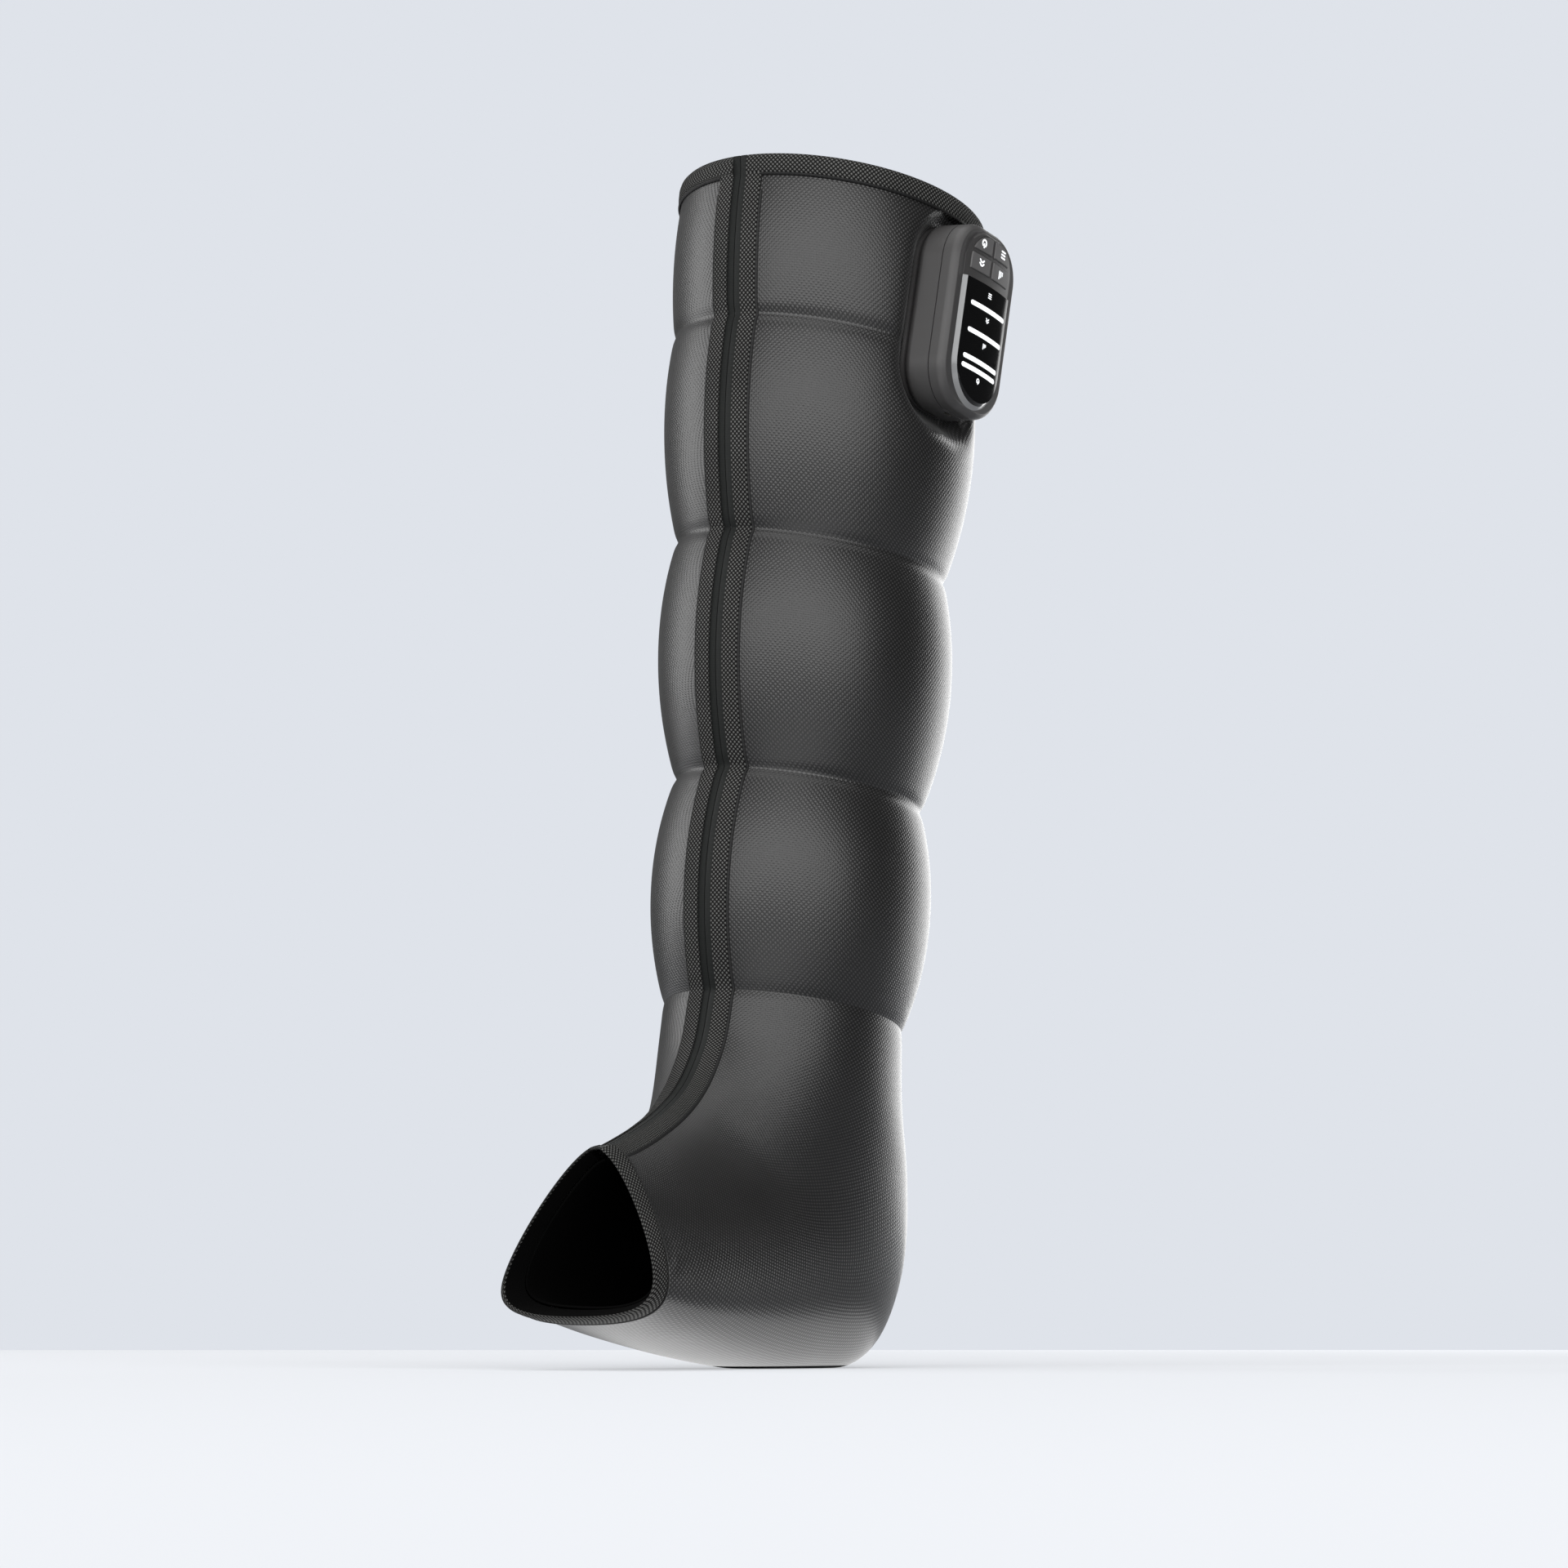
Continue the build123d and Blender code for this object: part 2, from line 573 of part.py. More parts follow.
with BuildPart() as lens_block:
    with BuildSketch(level(FRONT_FACE)):
        add(lens_outline(0.0, LENS_TOP + RISE))
    extrude(amount=RISE, taper=BEZEL_SLOPE)
    add(crown(LENS_CROWN), mode=Mode.INTERSECT)
    add(strip_of_front(-HOUSING_LENGTH, LENS_TOP - SNUG), mode=Mode.INTERSECT)

with BuildPart() as display_lens:
    with BuildSketch(level(FRONT_FACE)):
        add(lens_outline(BEZEL_WIDTH + SNUG, LENS_TOP))
    extrude(amount=RISE)
    add(lens_block.part, mode=Mode.INTERSECT)
    with BuildSketch(level(LENS_SEAT)):
        add(lens_outline(BEZEL_WIDTH + SNUG, LENS_TOP - SNUG))
    extrude(amount=FRONT_FACE - LENS_SEAT)

with BuildPart() as lens_bezel:
    add(lens_block.part)
    with BuildSketch(level(FRONT_FACE)):
        add(lens_outline(BEZEL_WIDTH, LENS_TOP))
    extrude(amount=RISE, mode=Mode.SUBTRACT)

keys = {}
for name, (column, row) in KEY_PLACES.items():
    with BuildPart() as key:
        with BuildSketch(level(KEY_BASE)):
            add(key_outline(column, row, 0.0))
        extrude(amount=KEY_CROWN - KEY_BASE)
        add(crown(KEY_CROWN), mode=Mode.INTERSECT)
        chamfer(key.faces().sort_by(OUTWARD)[-1].edges(), KEY_BEVEL)
        with BuildSketch(level(KEY_BASE)):
            add(key_outline(column, row, KEY_FLANGE))
        extrude(amount=KEY_FLANGE_TOP - KEY_BASE)
    keys[name] = key

with BuildPart() as dock_plate:
    with BuildSketch(level(DOCK_BACK)):
        RectangleRounded(DOCK_WIDTH, DOCK_LENGTH, DOCK_CORNER)
        with Locations(SCREW_SPOTS):
            Circle(SCREW_HEAD_RADIUS + FIT_GAP, mode=Mode.SUBTRACT)
    extrude(amount=DOCK_FRONT - DOCK_BACK)
    add(connector(CONNECTOR_CLEAR, DOCK_BACK, DOCK_FRONT), mode=Mode.SUBTRACT)

with BuildPart() as housing_screws:
    with BuildSketch(level(-FIT_GAP)):
        with Locations(SCREW_SPOTS):
            Circle(SCREW_HEAD_RADIUS)
    extrude(amount=-SCREW_HEAD_HEIGHT)
    with BuildSketch(level(-FIT_GAP)):
        with Locations(SCREW_SPOTS):
            Circle(SCREW_RADIUS)
    extrude(amount=SCREW_END + FIT_GAP)


# ---------------------------------------------------------------------------
# Inside the controller
# ---------------------------------------------------------------------------
def block(width, length, centre_y, back, front):
    """A box in the middle of the controller's width."""
    with BuildPart() as box:
        with BuildSketch(level(back)):
            with Locations((0, centre_y)):
                Rectangle(width, length)
        extrude(amount=front - back)
    return box.part


with BuildPart() as battery:
    add(block(BATTERY_WIDTH, BATTERY_LENGTH, BATTERY_Y, BATTERY_BACK, BATTERY_FRONT))
    chamfer(battery.edges().filter_by(Axis(CONTROLLER.origin, CONTROLLER.y_dir)), BATTERY_BEVEL)

with BuildPart() as pump_head:
    pump_y = MOTOR_Y - PUMP_GAP - PUMP_LENGTH / 2
    add(block(PUMP_WIDTH, PUMP_LENGTH, pump_y, PUMP_Z - PUMP_WIDTH / 2, PUMP_Z + PUMP_WIDTH / 2))

with BuildPart() as pump_motor:
    motor_end = CONTROLLER.from_local_coords((0, MOTOR_Y, PUMP_Z))
    with BuildSketch(Plane(origin=motor_end, x_dir=CONTROLLER.x_dir, z_dir=CONTROLLER.y_dir)):
        Circle(MOTOR_RADIUS)
    extrude(amount=MOTOR_LENGTH)

with BuildPart() as air_manifold:
    manifold_width = AIRWAY_PITCH * AIRWAY_COUNT - (AIRWAY_PITCH - VALVE_WIDTH)
    add(block(manifold_width, VALVE_LENGTH, CONNECTOR_Y, MANIFOLD_BACK, MANIFOLD_FRONT))
    add(connector(0.0, CONNECTOR_END, MANIFOLD_BACK))
    with BuildSketch(level(CONNECTOR_END)):
        with Locations((0, CONNECTOR_Y)):
            with GridLocations(AIRWAY_PITCH, AIRWAY_PITCH, AIRWAY_COUNT, 1):
                Circle(AIRWAY_RADIUS)
    extrude(amount=MANIFOLD_BACK - CONNECTOR_END, mode=Mode.SUBTRACT)

with BuildPart() as solenoid_valves:
    with BuildSketch(level(VALVE_BACK)):
        with Locations((0, CONNECTOR_Y)):
            with GridLocations(AIRWAY_PITCH, AIRWAY_PITCH, AIRWAY_COUNT, 1):
                Rectangle(VALVE_WIDTH, VALVE_LENGTH)
    extrude(amount=VALVE_FRONT - VALVE_BACK)

with BuildPart() as main_board:
    add(
        block(
            MAIN_BOARD_WIDTH, MAIN_BOARD_LENGTH, MAIN_BOARD_Y, MAIN_BOARD_BACK, MAIN_BOARD_FRONT
        )
    )

with BuildPart() as tact_switches:
    switch_y = KEYS_TOP - KEY_LENGTH - KEY_GAP / 2
    for size, depth in ((SWITCH_SIZE, SWITCH_BODY), (SWITCH_STEM, SWITCH_FACE)):
        with BuildSketch(level(SWITCH_BACK)):
            with Locations((0, switch_y)):
                with GridLocations(KEY_WIDTH + KEY_GAP, KEY_LENGTH + KEY_GAP, 2, 2):
                    Rectangle(size, size)
        extrude(amount=depth - SWITCH_BACK)

with BuildPart() as display_board:
    add(block(DISPLAY_WIDTH, DISPLAY_LENGTH, DISPLAY_Y, DISPLAY_BACK, DISPLAY_FRONT))

with BuildPart() as charge_port:
    with BuildSketch(PORT.offset(-PORT_RECESS)):
        SlotOverall(PORT_WIDTH, PORT_HEIGHT)
    extrude(amount=-PORT_DEPTH)
    with BuildSketch(PORT.offset(-PORT_RECESS)):
        SlotOverall(PORT_WIDTH - 2 * PORT_WALL, PORT_HEIGHT - 2 * PORT_WALL)
    extrude(amount=PORT_WALL - PORT_DEPTH, mode=Mode.SUBTRACT)

pieces = {
    "leg_cover": leg_cover,
    "foot_cover": foot_cover,
    "inner_liner": inner_liner,
    **{f"air_chamber_{place}": chamber for place, chamber in enumerate(air_chambers, 1)},
    **{f"zip_tape_{side}": tape for side, tape in zip_tapes.items()},
    "zip_coil": zip_coil,
    **{f"zip_binding_{side}": binding for side, binding in zip_bindings.items()},
    "rim_binding": rim_binding,
    "toe_binding": toe_binding,
    "dock_plate": dock_plate,
    "housing_screws": housing_screws,
    "rear_housing": rear_housing,
    "front_housing": front_housing,
    "display_lens": display_lens,
    "lens_bezel": lens_bezel,
    **keys,
    "battery": battery,
    "pump_motor": pump_motor,
    "pump_head": pump_head,
    "air_manifold": air_manifold,
    "solenoid_valves": solenoid_valves,
    "main_board": main_board,
    "tact_switches": tact_switches,
    "display_board": display_board,
    "charge_port": charge_port,
}
os.makedirs("parts", exist_ok=True)
for name, piece in pieces.items():
    piece.part.label = name
    export_step(piece.part, f"parts/{name}.step")
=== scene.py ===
"""Padded skin, sewing, zip, controller details and finishes of an air compression sleeve.

Metres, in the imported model's frame: +Z is up, -Y points to the toes and +X to the outer side
of the leg. Sizes in the classes are millimetres.
"""

import json
import logging
import math
from dataclasses import dataclass, field
from enum import Enum
from functools import partial
from typing import Callable, Sequence

import bpy
import numpy as np
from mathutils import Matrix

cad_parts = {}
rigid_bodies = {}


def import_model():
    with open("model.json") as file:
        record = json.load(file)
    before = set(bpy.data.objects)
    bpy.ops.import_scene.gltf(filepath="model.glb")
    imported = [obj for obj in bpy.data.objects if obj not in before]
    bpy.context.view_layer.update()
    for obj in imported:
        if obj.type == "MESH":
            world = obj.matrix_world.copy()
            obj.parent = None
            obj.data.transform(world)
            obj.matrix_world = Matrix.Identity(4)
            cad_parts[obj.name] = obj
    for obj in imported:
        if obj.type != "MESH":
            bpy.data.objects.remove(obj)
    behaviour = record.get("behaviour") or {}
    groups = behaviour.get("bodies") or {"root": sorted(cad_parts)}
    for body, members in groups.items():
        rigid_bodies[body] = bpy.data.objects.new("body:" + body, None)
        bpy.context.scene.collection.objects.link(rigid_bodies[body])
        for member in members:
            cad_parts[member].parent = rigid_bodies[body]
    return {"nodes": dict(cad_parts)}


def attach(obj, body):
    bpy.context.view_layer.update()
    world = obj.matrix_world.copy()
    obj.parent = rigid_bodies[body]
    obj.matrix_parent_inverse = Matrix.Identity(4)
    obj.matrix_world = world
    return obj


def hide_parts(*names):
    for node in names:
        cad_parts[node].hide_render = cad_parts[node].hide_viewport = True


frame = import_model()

log = logging.getLogger("sleeve")

Points = np.ndarray
Pair = tuple[Points, Points]  # such as the points of a line and the outward direction at each
Profile = Sequence[tuple[float, float]]
Reach = Callable[[float], Points]  # takes a section's length round, gives stations along it
Piece = bpy.types.Object
Tree = bpy.types.NodeTree
Socket = bpy.types.NodeSocket

MM = 0.001
TINY = 1e-6  # metres, and the least length that is divided by
SLEEVE = "sleeve"  # the body that everything but the keys rides on


# ---------------------------------------------------------------------------
# Small tools
# ---------------------------------------------------------------------------
def linear(code: str) -> tuple[float, float, float, float]:
    """An sRGB hex colour as the linear colour that a shader socket takes.

    Args:
        code: six hex digits after a hash sign.

    Returns:
        Linear red, green, blue and alpha.
    """
    parts = [int(code[i : i + 2], 16) / 255 for i in (1, 3, 5)]
    red, green, blue = (c / 12.92 if c <= 0.04045 else ((c + 0.055) / 1.055) ** 2.4 for c in parts)
    return red, green, blue, 1.0


def unit(vectors: Points) -> Points:
    """Vectors at length one."""
    return vectors / np.maximum(np.linalg.norm(vectors, axis=-1, keepdims=True), TINY)


def running(points: Points) -> Points:
    """The length along a line to each of its points."""
    return np.r_[0.0, np.cumsum(np.linalg.norm(np.diff(points, axis=0), axis=1))]


def along(points: Points, lengths: Points, stations: Points | float) -> Points:
    """The points at some lengths along a line."""
    return np.stack([np.interp(stations, lengths, axis) for axis in points.T], axis=-1)


def beyond_slot(local: Points, size: tuple[float, float, float]) -> Pair:
    """Where points lie beside a rounded rectangle.

    Args:
        local: points whose first two numbers are across and along the rectangle.
        size: its width, length and corner radius.

    Returns:
        How far outside it each point lies, less than nothing inside, and the way out.
    """
    width, length, corner = size
    over = np.abs(local[..., :2]) - np.array([width / 2 - corner, length / 2 - corner])
    reach = np.maximum(over, 0.0)
    distance = np.linalg.norm(reach, axis=-1) + np.minimum(over.max(axis=-1), 0.0) - corner
    return distance, unit(reach * np.sign(local[..., :2]))


def deselect() -> None:
    """Leaves object mode with nothing selected."""
    if bpy.context.object and bpy.context.object.mode != "OBJECT":
        bpy.ops.object.mode_set(mode="OBJECT")
    bpy.ops.object.select_all(action="DESELECT")


def activate(piece: Piece) -> None:
    """Selects one piece alone and makes it the active one."""
    deselect()
    piece.select_set(True)
    bpy.context.view_layer.objects.active = piece


def newest(name: str) -> Piece:
    """Names the piece that an operator has just added, and its mesh."""
    piece = bpy.context.object
    piece.name = piece.data.name = name
    return piece


def edit(piece: Piece, *steps: Callable[[], object]) -> None:
    """Runs operators on all of a piece's mesh in edit mode.

    Args:
        piece: the piece to work on.
        steps: calls that each run one operator.
    """
    activate(piece)
    bpy.ops.object.mode_set(mode="EDIT")
    bpy.ops.mesh.select_all(action="SELECT")
    for step in steps:
        step()
    bpy.ops.object.mode_set(mode="OBJECT")


class Element(Enum):
    """What a selection is made of."""

    VERTEX = "VERT"
    EDGE = "EDGE"


def edit_chosen(
    piece: Piece, kind: Element, chosen: Sequence[bool], step: Callable[[], object]
) -> None:
    """Runs one operator on some vertices or edges of a piece.

    Args:
        piece: the piece to work on.
        kind: what is selected.
        chosen: whether each vertex or edge is selected.
        step: a call that runs the operator.
    """
    edit(piece, lambda: bpy.ops.mesh.select_all(action="DESELECT"))
    elements = piece.data.vertices if kind is Element.VERTEX else piece.data.edges
    for element, selected in zip(elements, chosen):
        element.select = bool(selected)
    bpy.ops.object.mode_set(mode="EDIT")
    bpy.ops.mesh.select_mode(type=kind.value)
    step()
    bpy.ops.mesh.select_mode(type=Element.VERTEX.value)
    bpy.ops.object.mode_set(mode="OBJECT")


def apply_modifiers(piece: Piece) -> None:
    """Applies all of a piece's modifiers in order."""
    activate(piece)
    for modifier in list(piece.modifiers):
        bpy.ops.object.modifier_apply(modifier=modifier.name)


def coordinates(piece: Piece) -> Points:
    """The places of a piece's vertices, one row each."""
    places = np.empty(len(piece.data.vertices) * 3)
    piece.data.vertices.foreach_get("co", places)
    return places.reshape(-1, 3)


def place_vertices(piece: Piece, places: Points) -> None:
    """Moves a piece's vertices to new places."""
    piece.data.vertices.foreach_set("co", np.ascontiguousarray(places, dtype=np.float32).ravel())
    piece.data.update()


def smooth(piece: Piece, degrees: float) -> None:
    """Shades a piece smooth, apart from edges sharper than an angle."""
    activate(piece)
    bpy.ops.object.shade_smooth_by_angle(angle=math.radians(degrees))


def solidify(piece: Piece, wall: float) -> None:
    """Gives a sheet a wall, in millimetres, on its inner side."""
    shell = piece.modifiers.new("Wall", "SOLIDIFY")
    shell.thickness, shell.offset = wall * MM, -1.0
    shell.use_even_offset = False
    apply_modifiers(piece)


def grid_sheet(name: str, places: Points, pattern: Points, flip: bool = False) -> Piece:
    """A sheet of quads laid through rows of points.

    Args:
        name: the piece's name.
        places: rows by columns by three, in millimetres.
        pattern: rows by columns by two, the pattern map in millimetres.
        flip: turns the sheet's outer side round.

    Returns:
        The sheet, with its pattern map in metres.
    """
    rows, columns = places.shape[:2]
    deselect()
    bpy.ops.mesh.primitive_grid_add(x_subdivisions=columns - 1, y_subdivisions=rows - 1, size=2)
    piece = newest(name)
    flat = (coordinates(piece) + 1) / 2
    column = np.rint(flat[:, 0] * (columns - 1)).astype(int)
    row = np.rint(flat[:, 1] * (rows - 1)).astype(int)
    loops = np.empty(len(piece.data.loops), dtype=np.int32)
    piece.data.loops.foreach_get("vertex_index", loops)
    uv = pattern[row, column][loops] * MM
    piece.data.uv_layers.active.data.foreach_set("uv", uv.astype(np.float32).ravel())
    place_vertices(piece, places[row, column] * MM)
    if flip:
        edit(piece, bpy.ops.mesh.flip_normals)
    return piece


def closed_sweep(name: str, places: Points, pattern: Points, sharp: float) -> Piece:
    """A closed bar through rows of points whose last column repeats the first.

    Args:
        name: the piece's name.
        places: rows by columns by three, in millimetres.
        pattern: rows by columns by two, the pattern map in millimetres.
        sharp: edges that turn by more degrees stay sharp.

    Returns:
        The bar, merged along its joint and capped at both ends.
    """
    piece = grid_sheet(name, places, pattern)
    edit(
        piece,
        lambda: bpy.ops.mesh.remove_doubles(threshold=TINY),
        lambda: bpy.ops.mesh.fill_holes(sides=0),
        lambda: bpy.ops.mesh.normals_make_consistent(inside=False),
    )
    smooth(piece, sharp)
    return piece


def merged_copies(name: str, seed: Piece, frames: Sequence[Points]) -> Piece:
    """One piece of many copies of a small seed, which is then removed.

    Args:
        name: the new piece's name.
        seed: the small piece to repeat, in millimetres about the origin.
        frames: a 3 by 4 matrix for each copy, in millimetres.

    Returns:
        The piece that holds every copy.
    """
    local = np.c_[coordinates(seed), np.ones(len(seed.data.vertices))]
    faces = [tuple(polygon.vertices) for polygon in seed.data.polygons]
    places = np.concatenate([local @ matrix.T for matrix in frames]) * MM
    linked = [tuple(v + len(local) * i for v in face) for i in range(len(frames)) for face in faces]
    mesh = bpy.data.meshes.new(name)
    mesh.from_pydata(places.tolist(), [], linked)
    piece = bpy.data.objects.new(name, mesh)
    bpy.context.scene.collection.objects.link(piece)
    bpy.data.objects.remove(seed)
    return piece


# ---------------------------------------------------------------------------
# Finishes
# ---------------------------------------------------------------------------
WAVE_REPEAT = math.tau / 20  # length at which a wave texture of scale one repeats


def add_node(
    tree: Tree, kind: str, settings: dict | None = None, links: dict | None = None
) -> bpy.types.Node:
    """Adds a shader node with its settings and links.

    Args:
        tree: the material's node tree.
        kind: the node's type after "ShaderNode".
        settings: properties by name, and socket values by name or number.
        links: output sockets by the name or number of the input they feed.

    Returns:
        The new node.
    """
    node = tree.nodes.new(f"ShaderNode{kind}")
    for key, value in (settings or {}).items():
        if isinstance(key, str) and hasattr(node, key):
            setattr(node, key, value)
        else:
            node.inputs[key].default_value = value
    for key, output in (links or {}).items():
        tree.links.new(output, node.inputs[key])
    return node


def crossed_threads(tree: Tree, pitch: float, turn: float) -> Socket:
    """A lattice of raised thread crossings over the pattern map.

    Args:
        tree: the material's node tree.
        pitch: from one crossing to the next, in millimetres.
        turn: degrees that the lattice is turned from the sleeve's length.

    Returns:
        The output whose value runs from 0 between the threads to 1 on them.
    """
    uv = add_node(tree, "UVMap").outputs["UV"]
    waves = []
    for angle in (turn, turn + 90.0):
        turned = add_node(tree, "Mapping", {"Rotation": (0.0, 0.0, math.radians(angle))}, {"Vector": uv})
        scale = WAVE_REPEAT / (pitch * MM)
        wave = add_node(tree, "TexWave", {"Scale": scale}, {"Vector": turned.outputs["Vector"]})
        waves.append(wave.outputs["Fac"])
    return add_node(tree, "Math", {"operation": "MULTIPLY"}, dict(enumerate(waves))).outputs[0]


def mottle(tree: Tree, size: float, detail: float = 3.0) -> Socket:
    """Soft blotches in object coordinates, from 0 to 1, of a size in millimetres."""
    place = add_node(tree, "TexCoord").outputs["Object"]
    noise = add_node(tree, "TexNoise", {"Scale": 1 / (size * MM), "Detail": detail}, {"Vector": place})
    return noise.outputs["Fac"]


class Finish:
    """A real material and how its surface was made."""

    name: str

    def nodes(self, tree: Tree) -> Socket:
        """Builds the finish and returns the output of its shader."""
        raise NotImplementedError

    def material(self) -> bpy.types.Material:
        """The Blender material, which is built once."""
        found = bpy.data.materials.get(self.name)
        if found:
            return found
        made = bpy.data.materials.new(self.name)
        made.use_nodes = True
        made.node_tree.nodes.clear()
        add_node(made.node_tree, "OutputMaterial", links={"Surface": self.nodes(made.node_tree)})
        return made


@dataclass(frozen=True)
class WovenFabric(Finish):
    """Cloth whose crossed threads show as a fine lattice."""

    name: str
    valley: str  # between the threads
    thread: str  # on them
    pitch: float  # millimetres
    turn: float = 45.0
    relief: float = 0.05  # millimetres
    roughness: float = 0.5
    sheen: float = 0.1
    sheen_roughness: float = 0.4
    specular: float = 0.5
    blotch: float = 45.0  # size of the slight changes of tone, in millimetres
    dullest: float = 0.776  # how much of its colour the cloth keeps in the dullest blotch

    def nodes(self, tree: Tree) -> Socket:
        """Threads, a slight change of tone along the cloth, and their relief."""
        threads = crossed_threads(tree, self.pitch, self.turn)
        shades = {"data_type": "RGBA", 6: linear(self.valley), 7: linear(self.thread)}
        tone = add_node(tree, "Mix", shades, {0: threads}).outputs[2]
        spread = {"From Min": 0.3, "From Max": 0.7, "To Min": self.dullest, "To Max": 1.0}
        blotches = add_node(tree, "MapRange", spread, {"Value": mottle(tree, self.blotch)}).outputs[0]
        mixing = {"data_type": "RGBA", "blend_type": "MULTIPLY", 0: 1.0}
        colour = add_node(tree, "Mix", mixing, {6: tone, 7: blotches}).outputs[2]
        lift = {"Strength": 1.0, "Distance": self.relief * MM}
        bump = add_node(tree, "Bump", lift, {"Height": threads})
        settings = {
            "Roughness": self.roughness,
            "Sheen Weight": self.sheen,
            "Sheen Roughness": self.sheen_roughness,
            "Specular IOR Level": self.specular,
        }
        links = {"Base Color": colour, "Normal": bump.outputs["Normal"]}
        return add_node(tree, "BsdfPrincipled", settings, links).outputs["BSDF"]


@dataclass(frozen=True)
class SolidFinish(Finish):
    """One colour right through, with a gloss that drifts a little from place to place."""

    name: str
    colour: str
    roughness: float
    drift: tuple[float, float] = (0.0, 0.0)  # least and greatest change of the roughness
    patch: float = 18.0  # size of the drifts, in millimetres
    grain: float = 0.0  # size of the relief's grain, in millimetres, or none
    relief: float = 0.02  # height of that grain, in millimetres
    metallic: float = 0.0
    ior: float = 1.5
    glow: float = 0.0

    def nodes(self, tree: Tree) -> Socket:
        """A plain colour under its gloss, its grain and its glow."""
        least, greatest = (self.roughness + change for change in self.drift)
        drifts = {"Value": mottle(tree, self.patch)}
        gloss = add_node(tree, "MapRange", {"To Min": least, "To Max": greatest}, drifts)
        links = {"Roughness": gloss.outputs["Result"]}
        if self.grain:
            lift = {"Strength": 0.6, "Distance": self.relief * MM}
            height = {"Height": mottle(tree, self.grain, 1.0)}
            links["Normal"] = add_node(tree, "Bump", lift, height).outputs["Normal"]
        colour = linear(self.colour)
        settings = {"Base Color": colour, "Metallic": self.metallic, "IOR": self.ior}
        if self.glow:
            settings |= {"Emission Color": colour, "Emission Strength": self.glow}
        return add_node(tree, "BsdfPrincipled", settings, links).outputs["BSDF"]


@dataclass(frozen=True)
class MouldedPlastic(SolidFinish):
    """Injection-moulded plastic with the grain of a spark-eroded tool, drawn coarser to show."""

    roughness: float = 0.5
    drift: tuple[float, float] = (-0.05, 0.08)
    grain: float = 0.35


@dataclass(frozen=True)
class PolishedPlastic(SolidFinish):
    """Polished or drawn plastic: smooth, with faint wipe marks in its gloss."""

    drift: tuple[float, float] = (0.0, 0.06)
    patch: float = 12.0
    ior: float = 1.49


@dataclass(frozen=True)
class DrawnSteel(SolidFinish):
    """Bare or plated steel: metallic, with a dull spangle."""

    drift: tuple[float, float] = (-0.1, 0.15)
    patch: float = 3.0
    metallic: float = 1.0


# Coated nylon, woven fine and held tight by the air inside: soft long highlights, small diamonds
COVER_NYLON = WovenFabric(
    "coated_nylon_twill", "#171717", "#3e3d3d", pitch=2.1, relief=0.14, roughness=0.32
)
# Polypropylene webbing, woven coarse: bright crossings over dark gaps
BINDING_WEB = WovenFabric(
    "polypropylene_webbing", "#090909", "#757573", 2.0, relief=0.4, roughness=0.8, sheen=0.0, specular=0.1
)
# Dense zip tape, woven too fine to show more than a faint rib, and slightly green in the dye
ZIP_WEAVE = WovenFabric("polyester_zip_tape", "#141615", "#212322", pitch=0.9, turn=0.0, specular=0.15)
# Brushed polyester lining, painted almost black as painted shade for the dark inside of the sleeve and its
# openings; it gives next to no light back
LINING_PAINTED_SHADE = WovenFabric(
    "brushed_polyester_lining_painted_shade", "#030303", "#070707", 0.8, turn=0.0, roughness=0.9, sheen=0.0, specular=0.05
)
# Coated and welded bladder cloth: a waxy shine over a faint weave
BLADDER_CLOTH = WovenFabric("tpu_coated_bladder_cloth", "#242427", "#303033", pitch=1.2, roughness=0.35)
# Bonded sewing thread: dark, and slightly waxed
SEWING_THREAD = WovenFabric("bonded_polyester_thread", "#0c0c0c", "#1c1c1c", pitch=0.5, specular=0.3)
# Spark-textured ABS: a soft dark grey with no clear reflection
HOUSING_ABS = MouldedPlastic("spark_textured_abs", "#3d3c3c", roughness=0.46)
# Moulded silicone: paler and duller than the housing
KEY_RUBBER = MouldedPlastic("moulded_silicone_key", "#5a5959", roughness=0.55, grain=0.3)
# Glass-filled nylon: a dull black with a fine grain
PUMP_NYLON = MouldedPlastic("moulded_glass_filled_nylon", "#2c2c2e")
# Plain moulded switch bodies: black
SWITCH_PLASTIC = MouldedPlastic("moulded_switch_plastic", "#1c1c1e")
# Solder mask over glass fibre: green, half glossy
BOARD_MASK = MouldedPlastic("solder_masked_board", "#0f4a2c", roughness=0.35, grain=1.2)
# Shrunk PVC film: blue and fairly glossy
BATTERY_WRAP = PolishedPlastic("pvc_shrink_wrap", "#23426e", 0.25)
# Drawn nylon: black, with a soft shine on each tooth
COIL_NYLON = PolishedPlastic("drawn_nylon_coil", "#1c1d1d", 0.3)
# Smoked acrylic: black, with sharp reflections
LENS_ACRYLIC = PolishedPlastic("smoked_acrylic_lens", "#0c0c0d", 0.05)
# Polished trim beside the lens: a real part, whose pale grey colour is a painted reflection of the light on
# the lens's edge
BEZEL_PAINTED_REFLECTION = PolishedPlastic("polished_abs_bezel_painted_reflection", "#858687", 0.16)
# Translucent ink over a light: an even white that glows by itself
BACKLIT_INK = SolidFinish("backlit_translucent_ink", "#f6f8fa", 0.4, glow=0.55)
# Zinc plate: a warm grey metal
SCREW_STEEL = DrawnSteel("zinc_plated_steel", "#b4b2ac", 0.35)
# Drawn steel can: a cooler and slightly shinier grey metal
CAN_STEEL = DrawnSteel("drawn_steel_can", "#9c9c9e", 0.3)


def dress(piece: Piece, finish: Finish) -> None:
    """Gives a piece one finish all over."""
    piece.data.materials.clear()
    piece.data.materials.append(finish.material())


def hand_over(
    piece: Piece, finish: Finish, stands_for: Sequence[str] = (), body: str = SLEEVE
) -> None:
    """Dresses a finished piece, lets it ride on its body, and reports it.

    Args:
        piece: the finished piece.
        finish: what it is made of.
        stands_for: the CAD nodes that it replaces.
        body: the body that carries it.
    """
    dress(piece, finish)
    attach(piece, body)
    if stands_for:
        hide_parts(*stands_for)
    log.info("%s: %d faces, %s", piece.name, len(piece.data.polygons), finish.name)


